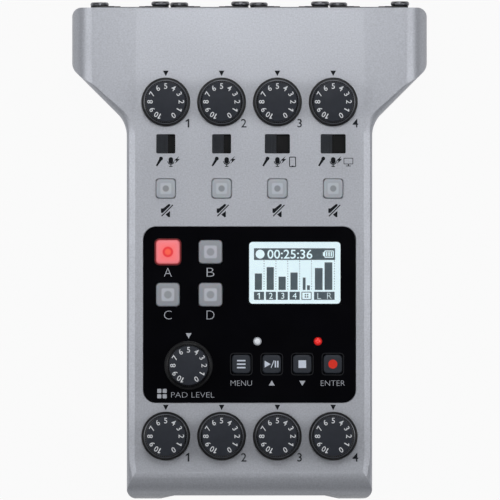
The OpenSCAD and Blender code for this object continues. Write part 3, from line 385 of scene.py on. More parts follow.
# Mesh building blocks
def piece(name, bm, materials, body, replaced=None, sharp_angle=35):
    """Turn a bmesh into an object that rides on a body."""
    bmesh.ops.recalc_face_normals(bm, faces=bm.faces)
    mesh = bpy.data.meshes.new(name)
    bm.to_mesh(mesh)
    bm.free()
    for material in materials:
        mesh.materials.append(material)
    mesh.shade_smooth()
    mesh.set_sharp_from_angle(angle=math.radians(sharp_angle))
    obj = bpy.data.objects.new(name, mesh)
    scene.collection.objects.link(obj)
    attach(obj, body)
    if replaced:
        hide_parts(replaced)
    return obj


def skin(bm, loops):
    """Closed skin over a row of equal loops, with a face on the first and the last."""
    rows = [[bm.verts.new(point) for point in loop] for loop in loops]
    for first, second in zip(rows, rows[1:]):
        for k in range(len(first)):
            bm.faces.new((first[k - 1], first[k], second[k], second[k - 1]))
    bm.faces.new(rows[0])
    bm.faces.new(reversed(rows[-1]))


def circle(centre, radius, z, count=48, ridges=0, depth=0.0):
    """Loop of points round a centre, drawn in between ridges."""
    points = []
    for k in range(count):
        angle = 2 * math.pi * k / count
        reach = radius - depth * (0.5 - 0.5 * math.cos(ridges * angle))
        points.append((centre.x + reach * math.cos(angle), centre.y + reach * math.sin(angle), z))
    return points


def stepped(radius, z, steps, depth=0.0):
    """Rows of a turned profile that step inwards and upwards from a corner, in millimetres."""
    return [(radius - inwards * MM, z + upwards * MM, depth) for inwards, upwards in steps]


def rounded(centre, half_w, half_l, radius, z, steps=6):
    """Loop of points round a rectangle with round corners."""
    points = []
    for corner, (side_x, side_y) in enumerate(((1, 1), (-1, 1), (-1, -1), (1, -1))):
        for k in range(steps + 1):
            angle = math.radians(90 * corner + 90 * k / steps)
            points.append((centre.x + side_x * (half_w - radius) + radius * math.cos(angle),
                           centre.y + side_y * (half_l - radius) + radius * math.sin(angle), z))
    return points


# Limits for finding edges and flats in the CAD meshes; angles in degrees
WELD = 0.001 * MM
FLAT_ANGLE = 0.4
SHARP_ANGLE = 28
CREASE_ANGLE = 2
FLAT_AREA = 150 * MM * MM
RAY_LIFT = 0.02 * MM


def cad_bmesh(node):
    """The node's mesh, welded, with flat areas as single faces."""
    source = nodes[node].data
    bm = bmesh.new()
    corners = [bm.verts.new(vertex.co) for vertex in source.vertices]
    for polygon in source.polygons:
        bm.faces.new([corners[k] for k in polygon.vertices])
    bmesh.ops.remove_doubles(bm, verts=bm.verts, dist=WELD)
    bmesh.ops.dissolve_limit(bm, angle_limit=math.radians(FLAT_ANGLE), verts=bm.verts, edges=bm.edges)
    return bm


def flat_creases(bm):
    """Edges between two large flats, which stay crisp however small their angle is."""
    bm.edges.index_update()
    return [edge.index for edge in bm.edges
            if edge.is_manifold and edge.calc_face_angle() > math.radians(CREASE_ANGLE)
            and min(face.calc_area() for face in edge.link_faces) > FLAT_AREA]


def refine(node, materials, body="case", edge=0.15 * MM, longest=1.0, segments=2, paint=None,
           shape=None, sharp_angle=40):
    """Copy of a CAD node, shaped further, with sharp edges up to a length rounded, then painted."""
    bm = cad_bmesh(node)
    if shape:
        shape(bm)
    edges = [e for e in bm.edges if e.is_manifold and e.calc_face_angle() > math.radians(SHARP_ANGLE)
             and e.calc_length() < longest]
    bmesh.ops.bevel(bm, geom=edges, offset=edge, segments=segments, profile=0.5, affect="EDGES",
                    clamp_overlap=True)
    if paint:
        paint(bm)
    creases = flat_creases(bm)
    obj = piece(node + "_body", bm, materials, body, node, sharp_angle)
    for index in creases:
        obj.data.edges[index].use_edge_sharp = True
    normals = obj.modifiers.new("normals", "WEIGHTED_NORMAL")
    normals.keep_sharp = True


def paint_hidden(bm):
    """Second material on faces that look into the shell or across an opening.

    Each face looks out from the centre of its largest triangle.
    """
    bm.normal_update()
    tree = BVHTree.FromBMesh(bm)
    largest = {}
    for loops in bm.calc_loop_triangles():
        corners = [loop.vert.co for loop in loops]
        area = area_tri(*corners)
        if area > largest.get(loops[0].face, (0, None))[0]:
            largest[loops[0].face] = (area, sum(corners, Vector()) / 3)
    for face, (_, centre) in largest.items():
        hit = tree.ray_cast(centre + face.normal * RAY_LIFT, face.normal)
        face.material_index = 1 if hit[0] else 0


# Printed marks: flat shapes and lettering gathered into one thin skin
LETTER_THIN = -0.02
LETTER_BOLD = 0.006
FIGURE_PITCH = 0.68
FIGURE_ONE = [(-0.04, -0.5), (0.15, -0.5), (0.15, 0.5), (0.02, 0.5), (-0.27, 0.31), (-0.27, 0.13),
              (-0.04, 0.26)]
FINEST_R = 0.02
ORIGIN = Vector((0, 0, 0))


class Print:
    THICK = 0.02 * MM

    def __init__(self, level):
        self.level = level
        self.bm = bmesh.new()

    def shape(self, points):
        """Filled outline, in metres."""
        base = [self.bm.verts.new((x, y, self.level)) for x, y in points]
        face = self.bm.faces.new(base)
        raised = bmesh.ops.extrude_face_region(self.bm, geom=[face])
        moved = [part for part in raised["geom"] if isinstance(part, bmesh.types.BMVert)]
        bmesh.ops.translate(self.bm, verts=moved, vec=(0, 0, self.THICK))

    def at(self, x, y, points, turn=0.0, scale=MM):
        """Filled outline given in millimetres about a place, turned by degrees."""
        cos, sin = math.cos(math.radians(turn)), math.sin(math.radians(turn))
        self.shape([(x + scale * (u * cos - v * sin), y + scale * (u * sin + v * cos)) for u, v in points])

    def bar(self, x, y, width, length, turn=0.0):
        self.at(x, y, [(-width / 2, -length / 2), (width / 2, -length / 2),
                       (width / 2, length / 2), (-width / 2, length / 2)], turn)

    def disc(self, x, y, radius, count=24):
        self.at(x, y, [(radius * math.cos(2 * math.pi * k / count),
                        radius * math.sin(2 * math.pi * k / count)) for k in range(count)])

    def frame(self, x, y, half_w, half_l, radius, line, inner_r=None):
        """Thin round-cornered outline, made of short strips."""
        inner_r = inner_r or max(radius - line, FINEST_R)
        outer = rounded(ORIGIN, half_w, half_l, radius, 0, steps=4)
        inner = rounded(ORIGIN, half_w - line, half_l - line, inner_r, 0, steps=4)
        for k in range(len(outer)):
            self.at(x, y, [outer[k - 1][:2], outer[k][:2], inner[k][:2], inner[k - 1][:2]])

    def arc(self, x, y, radius, line, start, end, steps=8):
        """Part of a ring between two angles, made of short strips."""
        for k in range(steps):
            first, second = (math.radians(start + (end - start) * j / steps) for j in (k, k + 1))
            corners = [(reach * math.cos(angle), reach * math.sin(angle)) for reach, angle in
                       ((radius, first), (radius, second), (radius - line, second), (radius - line, first))]
            self.at(x, y, corners)

    def number(self, value, x, y, height, turn=0.0, weight=0.0):
        """Figures set side by side; the one has a flag."""
        figures = str(value)
        cos, sin = math.cos(math.radians(turn)), math.sin(math.radians(turn))
        for k, figure in enumerate(figures):
            shift = (k - (len(figures) - 1) / 2) * height * FIGURE_PITCH
            place = (x + shift * cos, y + shift * sin)
            if figure == "1":
                self.at(*place, FIGURE_ONE, turn, height)
            else:
                self.text(figure, *place, height, turn, weight=weight)

    def text(self, words, x, y, height, turn=0.0, width=None, weight=LETTER_THIN):
        """Lettering of this height, centred, in the built-in face, thinner or bolder by weight."""
        curve = bpy.data.curves.new("lettering", "FONT")
        curve.body = words
        curve.resolution_u = 3
        curve.extrude = self.THICK / 2
        curve.offset = weight
        holder = bpy.data.objects.new("lettering", curve)
        scene.collection.objects.link(holder)
        bpy.context.view_layer.update()
        evaluated = holder.evaluated_get(bpy.context.evaluated_depsgraph_get())
        mesh = bpy.data.meshes.new_from_object(evaluated)
        bpy.data.objects.remove(holder)
        xs = [vertex.co.x for vertex in mesh.vertices]
        ys = [vertex.co.y for vertex in mesh.vertices]
        tall = height / (max(ys) - min(ys))
        wide = width / (max(xs) - min(xs)) if width else tall
        centre = Matrix.Translation((-(max(xs) + min(xs)) / 2, -(max(ys) + min(ys)) / 2, 0))
        size = Matrix.Diagonal((wide, tall, 1, 1))
        place = Matrix.Translation((x, y, self.level + self.THICK / 2))
        mesh.transform(place @ Matrix.Rotation(math.radians(turn), 4, "Z") @ size @ centre)
        self.bm.from_mesh(mesh)
        bpy.data.meshes.remove(mesh)

    def finish(self, name, material, body):
        piece(name, self.bm, [material], body)


# Case: the lower body's round top edges become a sloping band with a tight outer edge
BODY_HALF = 38.7 * MM
EDGE_R = 3.4 * MM
BAND_W = 3.2 * MM
BAND_R = 1.2 * MM
BAND_FALL = math.radians(20)
NECK_R = 10 * MM
NECK_Y = 35.86 * MM
NECK_TURN = math.radians(45)
BAND_DROP = (BAND_R + math.sin(BAND_FALL) * (BAND_W - BAND_R)) / math.cos(BAND_FALL)
BAND_END = 13 * MM
ARC_SLACK = 0.03 * MM
TURN_LEAST = -0.01
TURN_MOST = math.radians(90.5)

# Rear edge of the shoulders, and corners of the slots
WING_EDGE = 1.0 * MM
REAR_REACH = 3.2 * MM
REAR_DEPTH = 8 * MM
REAR_UPWARD = 0.2
REAR_LOOK = Vector((0, -0.1 * MM, 0.1 * MM))
SLOT_CORNER = 0.42 * MM
SLOT_REACH = 5 * MM
SLOT_DEPTH = 4 * MM
SLOT_ANGLE = 60
UPRIGHT_SLACK = 0.01 * MM


def band_point(turn):
    """Distance from the side and depth under the plate, for the turn of the round edge's normal."""
    if turn > BAND_FALL:
        return BAND_R * (1 - math.sin(turn)), BAND_DROP - BAND_R * math.cos(turn)
    end_in, end_depth = BAND_R * (1 - math.sin(BAND_FALL)), BAND_DROP - BAND_R * math.cos(BAND_FALL)
    share = turn / BAND_FALL
    return BAND_W + (end_in - BAND_W) * share, end_depth * share


def band_edges(bm):
    """Band along the straight sides, fading into the plain round edge at the front and round the necks."""
    fade_y = low("top_shell").y + BAND_END
    bmesh.ops.bisect_plane(bm, geom=bm.verts[:] + bm.edges[:] + bm.faces[:], plane_co=(0, fade_y, 0),
                           plane_no=(0, 1, 0))
    for vertex in bm.verts:
        side = math.copysign(1, vertex.co.x)
        x, y, depth = abs(vertex.co.x), vertex.co.y, PLATE_Z - vertex.co.z
        across, along = BODY_HALF + NECK_R - x, max(y - NECK_Y, 0)
        reach = math.hypot(across, along)
        inside = reach - NECK_R
        turn = math.atan2(EDGE_R - inside, EDGE_R - depth)
        off_arc = abs(math.hypot(EDGE_R - inside, EDGE_R - depth) - EDGE_R)
        hold = 1 - math.atan2(along, across) / NECK_TURN
        on_edge = off_arc <= ARC_SLACK and TURN_LEAST < turn < TURN_MOST
        if not on_edge or hold < 0 or y < fade_y - MM:
            continue
        band_in, band_depth = band_point(max(turn, 0))
        moved = (reach + hold * (band_in - inside)) / reach
        vertex.co.x = side * (BODY_HALF + NECK_R - across * moved)
        vertex.co.y = y + along * (moved - 1)
        vertex.co.z -= hold * (band_depth - depth)


def round_rear_edge(bm):
    """Round edge along the rear of the falling shoulders."""
    rear_y = high("top_shell").y
    bm.normal_update()
    tree = BVHTree.FromBMesh(bm)

    def open_above(edge):
        centre = (edge.verts[0].co + edge.verts[1].co) / 2
        return tree.ray_cast(centre + REAR_LOOK, Vector((0, 0, 1)))[0] is None

    edges = [edge for edge in bm.edges
             if edge.is_manifold and edge.calc_face_angle() > math.radians(SHARP_ANGLE)
             and min(vertex.co.y for vertex in edge.verts) > rear_y - REAR_REACH
             and min(vertex.co.z for vertex in edge.verts) > PLATE_Z - REAR_DEPTH
             and max(face.normal.z for face in edge.link_faces) > REAR_UPWARD
             and open_above(edge)]
    bmesh.ops.bevel(bm, geom=edges, offset=WING_EDGE, segments=4, profile=0.5, affect="EDGES",
                    clamp_overlap=True)


def shape_shell(bm):
    """Band, round rear edge, and round corners of the mode sliders' slots."""
    band_edges(bm)
    round_rear_edge(bm)
    slot_y = middle("mode_slider_1").y
    corners = [edge for edge in bm.edges
               if (edge.verts[0].co - edge.verts[1].co).to_2d().length < UPRIGHT_SLACK
               and abs(edge.verts[0].co.y - slot_y) < SLOT_REACH
               and edge.verts[0].co.z > PLATE_Z - SLOT_DEPTH
               and edge.is_manifold and edge.calc_face_angle() > math.radians(SLOT_ANGLE)]
    bmesh.ops.bevel(bm, geom=corners, offset=SLOT_CORNER, segments=3, profile=0.5, affect="EDGES",
                    clamp_overlap=True)


def dress_case():
    refine("top_shell", [SILVER, INNER], edge=0.16 * MM, paint=paint_hidden,
           shape=shape_shell, sharp_angle=16)
    refine("bottom_tray", [GREY], edge=0.2 * MM)
    refine("battery_door", [GREY], "battery_door", edge=0.2 * MM)
    refine("rubber_feet", [RUBBER], edge=0.4 * MM)
    refine("case_screws", [BLACK_STEEL], edge=0.1 * MM)
    refine("control_panel", [PANEL_GLOSS], edge=0.16 * MM)


# Knob: dark flange, a glossy bead whose paler colour is a painted highlight, knurled side and a satin top
# with a ring of numbers
KNOB_RIDGES = 60
KNOB_STEPS = 4
KNURL = 0.22 * MM
NUMBER_RING = 4.95 * MM
NUMBER_H = 1.75 * MM
NUMBER_STEP = 30
NUMBER_LAST = 10
NUMBER_UP = 5
FLANGE_LOWER = ((0.25, 0), (0.06, 0.08), (0, 0.25))
FLANGE_UPPER = ((0.06, -0.2), (0.25, 0))
BEAD_STEPS = ((-0.04, 0), (0, 0.06), (0.1, 0.12))
SIDE_FOOT = ((0, 0.2), (0.02, 0.3))
KNURL_FOOT = ((0.05, 0.5),)
KNURL_TOP = ((0, -0.4),)
TOP_EDGE = ((0, -0.3), (0.06, -0.12), (0.16, -0.03), (0.3, 0))


def dress_knob(node):
    lo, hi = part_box(node)
    at = (lo + hi) / 2
    foot = PLATE_Z + 0.5 * MM
    shelf = foot + 1.05 * MM
    rim = (hi.x - lo.x) / 2
    bead = 6.98 * MM
    body_r = 6.68 * MM
    top_r = 6.25 * MM
    wall = 1.5 * MM
    roof = 2.2 * MM
    stem_r = 3 * MM
    centre_r = 0.2 * MM
    bead_low = shelf + 0.05 * MM
    bead_high = shelf + 0.25 * MM
    top_low = hi.z - 0.2 * MM
    profile = [(stem_r, lo.z, 0), (stem_r, hi.z - roof, 0), (body_r - wall, hi.z - roof, 0),
               (body_r - wall, foot, 0)]
    profile += stepped(rim, foot, FLANGE_LOWER) + stepped(rim, shelf, FLANGE_UPPER)
    profile += stepped(bead, shelf, BEAD_STEPS) + stepped(body_r, shelf, SIDE_FOOT)
    profile += stepped(body_r, shelf, KNURL_FOOT, KNURL) + stepped(top_r, hi.z, KNURL_TOP, KNURL)
    profile += stepped(top_r, hi.z, TOP_EDGE) + [(centre_r, hi.z, 0)]
    bm = bmesh.new()
    count = KNOB_RIDGES * KNOB_STEPS
    skin(bm, [circle(at, r, z, count, KNOB_RIDGES, depth) for r, z, depth in profile])
    for face in bm.faces:
        corners = [vertex.co.z for vertex in face.verts]
        on_top = min(corners) > top_low
        on_bead = min(corners) > bead_low and max(corners) < bead_high
        face.material_index = 1 if on_top else 2 if on_bead else 0
    # The bead's paler colour is a painted highlight; the pad knob's bead stays dark because it shows no
    # highlight
    ring = KNOB if node == "pad_knob" else KNOB_BEAD_HIGHLIGHT
    piece(node + "_cap", bm, [KNOB, KNOB_TOP, ring], node, node)
    numbers = Print(hi.z)
    for number in range(NUMBER_LAST + 1):
        turn = (number - NUMBER_UP) * NUMBER_STEP
        angle = math.radians(turn)
        numbers.number(number, at.x - NUMBER_RING * math.sin(angle),
                       at.y + NUMBER_RING * math.cos(angle), NUMBER_H, turn, LETTER_BOLD)
    numbers.finish(node + "_numbers", WHITE_INK, node)


# Push buttons: retaining lip, plunger and a softly crowned cap
LIP = 0.9 * MM
LIP_T = 1.0 * MM
LIP_GAP = 0.1 * MM
PLUNGER_R = 1.6 * MM
CAP_R = 1.15 * MM
CAP_R_SHARE = 0.6
SOFT_ANGLES = (22.5, 45, 67.5, 90)
CROWN_SHARES = (0.75, 0.5, 0.25)


def dress_button(node, material, plate_t, proud_z, crown=0.12 * MM, soft=0.35 * MM):
    lo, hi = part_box(node)
    at = (lo + hi) / 2
    lip_half = (hi.x - lo.x) / 2
    half = lip_half - LIP
    lip_z = proud_z - plate_t - LIP_GAP
    rows = [(lip_half, lip_z - LIP_T), (lip_half, lip_z), (half, lip_z), (half, hi.z - soft - crown)]
    for angle in SOFT_ANGLES:
        turn = math.radians(angle)
        rows.append((half - soft * (1 - math.cos(turn)), hi.z - crown - soft * (1 - math.sin(turn))))
    for share in CROWN_SHARES:
        rows.append(((half - soft) * share, hi.z - crown * share * share))
    bm = bmesh.new()
    skin(bm, [rounded(at, reach, reach, min(CAP_R, reach * CAP_R_SHARE), z) for reach, z in rows])
    skin(bm, [circle(at, PLUNGER_R, z, count=24) for z in (lo.z, lip_z - LIP_T)])
    piece(node + "_cap", bm, [material], node, node)


# Thicknesses over the lips, and printed borders in millimetres
SHELL_T = 2.2 * MM
SEAT_T = 3.2 * MM
KEY_CROWN = 0.01 * MM
KEY_SOFT = 0.3 * MM
KEY_BEZEL_HALF = 3.55
KEY_BEZEL_R = 1.2
KEY_BEZEL_LINE = 0.28
GLOW_HALF = 4.25
GLOW_R = 1.6
GLOW_LINE = 0.4


def dress_buttons():
    for k in CHANNELS:
        dress_button(f"mute_button_{k}", MUTE, SHELL_T, PLATE_Z)
    for letter in PADS:
        lit = letter == "a"
        dress_button(f"pad_button_{letter}", PAD_LIT if lit else PAD,
                     SEAT_T, PANEL_Z)
    bezels = Print(PANEL_Z)
    for name in KEYS:
        node = f"{name}_button"
        dress_button(node, KEY, SEAT_T, PANEL_Z, crown=KEY_CROWN, soft=KEY_SOFT)
        at = middle(node)
        bezels.frame(at.x, at.y, KEY_BEZEL_HALF, KEY_BEZEL_HALF, KEY_BEZEL_R, KEY_BEZEL_LINE)
    bezels.finish("key_bezels", BEZEL, "case")
    glow = Print(PANEL_Z)
    lit_at = middle("pad_button_a")
    glow.frame(lit_at.x, lit_at.y, GLOW_HALF, GLOW_HALF, GLOW_R, GLOW_LINE)
    glow.finish("pad_glow", PAD_GLOW, "case")


# Symbols on the keys, in millimetres
MENU_ROWS = (-1.1, 0, 1.1)
MENU_BAR = (2.7, 0.46)
PLAY_X = -1.3
PLAY_ARROW = [(-0.95, -1.1), (0.95, 0), (-0.95, 1.1)]
SLASH_X = 0.25
SLASH_BAR = (0.24, 2.5)
SLASH_TURN = -22
PAUSE_COLUMNS = (1.15, 1.9)
PAUSE_BAR = (0.44, 2.1)
STOP_SIDE = 2.4
RECORD_R = 1.42


def dress_key_symbols():
    for name in KEYS:
        node = f"{name}_button"
        at = middle(node)
        marks = Print(high(node).z - KEY_CROWN)
        if name == "menu":
            for row in MENU_ROWS:
                marks.bar(at.x, at.y + row * MM, *MENU_BAR)
        if name == "play":
            marks.at(at.x + PLAY_X * MM, at.y, PLAY_ARROW)
            marks.bar(at.x + SLASH_X * MM, at.y, *SLASH_BAR, SLASH_TURN)
            for column in PAUSE_COLUMNS:
                marks.bar(at.x + column * MM, at.y, *PAUSE_BAR)
        if name == "stop":
            marks.bar(at.x, at.y, STOP_SIDE, STOP_SIDE)
        if name == "record":
            marks.disc(at.x, at.y, RECORD_R)
        marks.finish(f"{name}_symbol", RED_INK if name == "record" else SYMBOL_INK, node)


# Slide switches: the cap's grip is a row of fine ribs, and a black apron closes the slot
RIBS = 6
RIB_HALF_W = 0.3
RIB_TOP_HALF_W = 0.14
RIB_ROUND = 0.9
RIB_SUNK = 0.05 * MM
RIB_SIDE = 0.06 * MM
RIB_PROUD = 0.14 * MM
RIB_INSET = 0.35 * MM
CAP_HALF_W = 1.75 * MM
CAP_HALF_L = 2.8 * MM
CAP_EDGE = 0.3 * MM


def paint_apron(bm):
    cap_z = max(vertex.co.z for vertex in bm.verts)
    for face in bm.faces:
        face.material_index = 0 if max(vertex.co.z for vertex in face.verts) > cap_z - CAP_EDGE else 1


def dress_sliders():
    for k in CHANNELS:
        node = f"mode_slider_{k}"
        refine(node, [SLIDER, APRON], node, edge=0.14 * MM, paint=paint_apron)
        ribs = bmesh.new()
        at = middle(node)
        cap_z = high(node).z
        pitch = 2 * CAP_HALF_W / (RIBS + 1)
        rows = ((pitch * RIB_HALF_W, cap_z - RIB_SUNK), (pitch * RIB_HALF_W, cap_z + RIB_SIDE),
                (pitch * RIB_TOP_HALF_W, cap_z + RIB_PROUD))
        for rib in range(RIBS):
            centre = Vector((at.x - CAP_HALF_W + pitch * (rib + 1), at.y, 0))
            skin(ribs, [rounded(centre, half_w, CAP_HALF_L - RIB_INSET, half_w * RIB_ROUND, z, steps=3)
                        for half_w, z in rows])
        piece(f"{node}_ribs", ribs, [SLIDER], node)
    refine("power_slider", [SLIDER], "power_slider", edge=0.2 * MM)


# Display: lit face behind the lens, with level bars; places and sizes in millimetres from its middle
FACE_SLACK = 0.01 * MM


def paint_lit_face(bm):
    top_z = max(vertex.co.z for vertex in bm.verts)
    for face in bm.faces:
        face.material_index = 0 if face.calc_center_median().z > top_z - FACE_SLACK else 1


HEADING_X = -0.1
HEADING_Y = 5.9
HEADING_W = 25.6
HEADING_H = 3.7
LABEL_X = 0.2
LABEL_Y = -7.25
LABEL_W = 3.2
LABEL_H = 2.55
LABEL_FIGURE_H = 1.9
BAR_FLOOR = -5.4
BAR_FIRST = -11.5
BAR_PITCH = 3.75
BAR_W = 2.28
BAR_LEVELS = (5.2, 7.2, 4.2, 5.5)
ICON_X = 3.7
ICON_BAR_W = 0.9
ICON_LEVELS = ((-0.75, 3.9), (0.6, 1.45))
ICON_HALF_W = 1.6
ICON_R = 0.2
ICON_LINE = 0.25
ICON_TILE = 0.45
ICON_TILES = (-0.35, 0.35)
OUT_X = 9.3
OUT_BAR_W = 2.45
OUT_LEVELS = ((-1.75, 6.9), (1.3, 8.7))
OUT_LABEL_W = 6.5
OUT_LETTERS = ((-1.6, "L"), (1.6, "R"))
RULE_STEP = 0.8
RULE_DOTS = 12
RULE_DOT = (0.22, 0.3)
RULE_UP = 0.3
RULE_FIRST = BAR_FIRST + BAR_W / 2 + 0.65
RULE_LAST = OUT_X + 3.2
RULE_PLACES = [RULE_FIRST + k * BAR_PITCH for k in range(len(BAR_LEVELS) + 1)] + [RULE_LAST]
TIME_X = -1.55
TIME_W = 14.2
TIME_H = 2.9
TIME_WEIGHT = 0.012
DOT_X = -10.95
DOT_R = 1.42
BATTERY_X = 10.8
BATTERY_HALF_W = 1.5
BATTERY_HALF_H = 1.15
BATTERY_R = 0.4
BATTERY_LINE = 0.32
BATTERY_TIP_X = -1.7
BATTERY_TIP = (0.5, 1.2)
BATTERY_PITCH = 0.72
BATTERY_BAR = (0.42, 1.35)
MASK_R = 1.05
MASK_OUTER_R = 0.1
MASK_LAP = 0.55
MASK_IN = 0.06


def dress_display():
    refine("lcd_module", [LCD, BLACK], edge=0.05 * MM, paint=paint_lit_face)
    nodes["display_lens"].data.materials[0] = LENS
    at = middle("display_lens")

    def bar(marks, x, y, width, length):
        marks.bar(at.x + x * MM, at.y + y * MM, width, length)

    marks = Print(high("lcd_module").z)
    bar(marks, HEADING_X, HEADING_Y, HEADING_W, HEADING_H)
    for k, level in enumerate(BAR_LEVELS):
        x = BAR_FIRST + k * BAR_PITCH
        bar(marks, x, BAR_FLOOR + level / 2, BAR_W, level)
        bar(marks, x + LABEL_X, LABEL_Y, LABEL_W, LABEL_H)
    for side, level in ICON_LEVELS:
        bar(marks, ICON_X + side, BAR_FLOOR + level / 2, ICON_BAR_W, level)
    for side, level in OUT_LEVELS:
        bar(marks, OUT_X + side, BAR_FLOOR + level / 2, OUT_BAR_W, level)
    bar(marks, OUT_X, LABEL_Y, OUT_LABEL_W, LABEL_H)
    marks.frame(at.x + ICON_X * MM, at.y + LABEL_Y * MM, ICON_HALF_W, LABEL_H / 2, ICON_R, ICON_LINE)
    for row in ICON_TILES:
        for column in ICON_TILES:
            bar(marks, ICON_X + column, LABEL_Y + row, ICON_TILE, ICON_TILE)
    for rule_x in RULE_PLACES:
        for dot in range(RULE_DOTS):
            bar(marks, rule_x, BAR_FLOOR + RULE_UP + RULE_STEP * dot, *RULE_DOT)
    marks.finish("display_marks", LCD_INK, "case")
    dress_display_figures(at)
    dress_display_mask()


def dress_display_figures(at):
    """Pale figures that stand on the display's dark fields."""
    heading = at.y + HEADING_Y * MM
    label = at.y + LABEL_Y * MM
    figures = Print(high("lcd_module").z + Print.THICK)
    figures.text("00:25:36", at.x + TIME_X * MM, heading, TIME_H * MM, width=TIME_W * MM,
                 weight=TIME_WEIGHT)
    figures.disc(at.x + DOT_X * MM, heading, DOT_R)
    figures.frame(at.x + BATTERY_X * MM, heading, BATTERY_HALF_W, BATTERY_HALF_H, BATTERY_R, BATTERY_LINE)
    figures.bar(at.x + (BATTERY_X + BATTERY_TIP_X) * MM, heading, *BATTERY_TIP)
    for k in (-1, 0, 1):
        figures.bar(at.x + (BATTERY_X + BATTERY_PITCH * k) * MM, heading, *BATTERY_BAR)
    for k in CHANNELS:
        x = BAR_FIRST + (k - 1) * BAR_PITCH + LABEL_X
        figures.number(k, at.x + x * MM, label, LABEL_FIGURE_H * MM)
    for side, letter in OUT_LETTERS:
        figures.text(letter, at.x + (OUT_X + side) * MM, label, LABEL_FIGURE_H * MM)
    figures.finish("display_figures", LCD, "case")


def dress_display_mask():
    """Black border with round inner corners, printed on the display under its lens."""
    lo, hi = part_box("display_lens")
    at = (lo + hi) / 2
    half_w, half_l = ((size / 2) / MM + MASK_LAP for size in (hi.x - lo.x, hi.y - lo.y))
    mask = Print(high("lcd_module").z)
    mask.frame(at.x, at.y, half_w, half_l, MASK_OUTER_R, MASK_LAP + MASK_IN, MASK_R)
    mask.finish("display_mask", PANEL_GLOSS, "case")


# Status lights: a foot under the panel and a low dome
LIGHT_R = 0.92 * MM
LIGHT_FOOT_R = 1.7 * MM
LIGHT_FOOT_H = 2 * MM
LIGHT_DOME = ((0, -0.1), (0.08, 0), (0.276, 0.12), (0.598, 0.18))


def dress_status_lights():
    lo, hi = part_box("status_leds")
    foot_z = lo.z + LIGHT_FOOT_H
    rows = [(LIGHT_FOOT_R, lo.z, 0), (LIGHT_FOOT_R, foot_z, 0), (LIGHT_R, foot_z, 0)]
    rows += stepped(LIGHT_R, hi.z, LIGHT_DOME)
    for name, material, x in (("light_left", LED_WHITE, lo.x + LIGHT_FOOT_R),
                              ("light_right", LED_RED, hi.x - LIGHT_FOOT_R)):
        at = Vector((x, (lo.y + hi.y) / 2, 0))
        bm = bmesh.new()
        skin(bm, [circle(at, radius, z, count=32) for radius, z, _ in rows])
        piece(name, bm, [material], "case", "status_leds")


# Sockets and ports; the round edge of a screw's head is a ring of short facets
HEAD_FACET = 0.5 * MM


def dress_sockets():
    for k in CHANNELS:
        refine(f"xlr_socket_{k}", [BLACK], edge=0.18 * MM)
        refine(f"xlr_latch_{k}", [SLIDER], f"xlr_latch_{k}", edge=0.2 * MM)
    refine("xlr_contacts", [GOLD], edge=0.06 * MM)
    refine("xlr_screws", [SCREW_STEEL], edge=0.7 * MM, longest=HEAD_FACET, segments=4)
    refine("phones_jacks", [BLACK], edge=0.12 * MM)
    refine("headset_jack", [BLACK], edge=0.12 * MM)
    refine("usb_ports", [STEEL], edge=0.08 * MM)
    refine("memory_card", [CARD], "memory_card", edge=0.15 * MM)
    for node, material in (("card_slot", STEEL), ("main_board", BOARD), ("mic_board", BOARD),
                           ("jack_board", BOARD), ("battery_cells", CELL), ("battery_contacts", STEEL),
                           ("board_screws", STEEL), ("pot_bodies", BLACK_STEEL),
                           ("slide_switches", BLACK), ("tact_switches", BLACK)):
        nodes[node].data.materials[0] = material


# Printed marks on the plate and the panel, in millimetres
POINTER = [(-0.9, 0.78), (0.9, 0.78), (0, -0.92)]
MIC_HANDLE = [(-1.05, -1.2), (-0.6, -1.42), (0.78, 0.5), (0.02, 0.95)]
BOLT = [(0.75, 1.25), (-0.95, -0.2), (-0.15, -0.2), (-0.75, -1.25), (0.95, 0.3), (0.15, 0.3)]
SPEAKER_UPPER = [(-1.85, 0.65), (-1.1, 0.7), (0.65, 2.1), (1.1, 1.95), (1.04, 1.45), (-1.3, -0.8),
                 (-1.85, -0.7)]
SPEAKER_LOWER = [(1.04, -0.1), (1.04, -2.0), (0.65, -2.15), (-0.4, -1.3)]


def hand_mic(marks, x, y):
    head_r = 0.62
    marks.at(x, y, MIC_HANDLE)
    marks.disc(x + 0.58 * MM, y + 1.05 * MM, head_r, count=14)


def stand_mic(marks, x, y):
    half_w, half_l, corner = 0.72, 1.05, 0.7
    cradle_r, cradle_line = 1.12, 0.26
    stem = (0.28, 0.6)
    foot = (1.1, 0.28)
    capsule = rounded(ORIGIN, half_w, half_l, corner, 0, steps=5)
    marks.at(x, y + 0.45 * MM, [point[:2] for point in capsule])
    marks.arc(x, y + 0.2 * MM, cradle_r, cradle_line, start=180, end=360)
    marks.bar(x, y - 1.1 * MM, *stem)
    marks.bar(x, y - 1.42 * MM, *foot)


def phone_icon(marks, x, y):
    half_w, half_l, corner, line = 1.1, 1.65, 0.4, 0.28
    button = (0.6, 0.22)
    marks.frame(x, y, half_w, half_l, corner, line)
    marks.bar(x, y - 1.3 * MM, *button)


def screen_icon(marks, x, y):
    half_w, half_l, corner, line = 1.5, 1.0, 0.2, 0.2
    stem = (0.3, 0.5)
    foot = (1.5, 0.22)
    marks.frame(x, y + 0.25 * MM, half_w, half_l, corner, line)
    marks.bar(x, y - 1.0 * MM, *stem)
    marks.bar(x, y - 1.3 * MM, *foot)


def muted_speaker(marks, x, y):
    stroke = (0.34, 5.1)
    marks.at(x, y, SPEAKER_UPPER)
    marks.at(x, y, SPEAKER_LOWER)
    marks.bar(x + 0.15 * MM, y, *stroke, turn=-45)


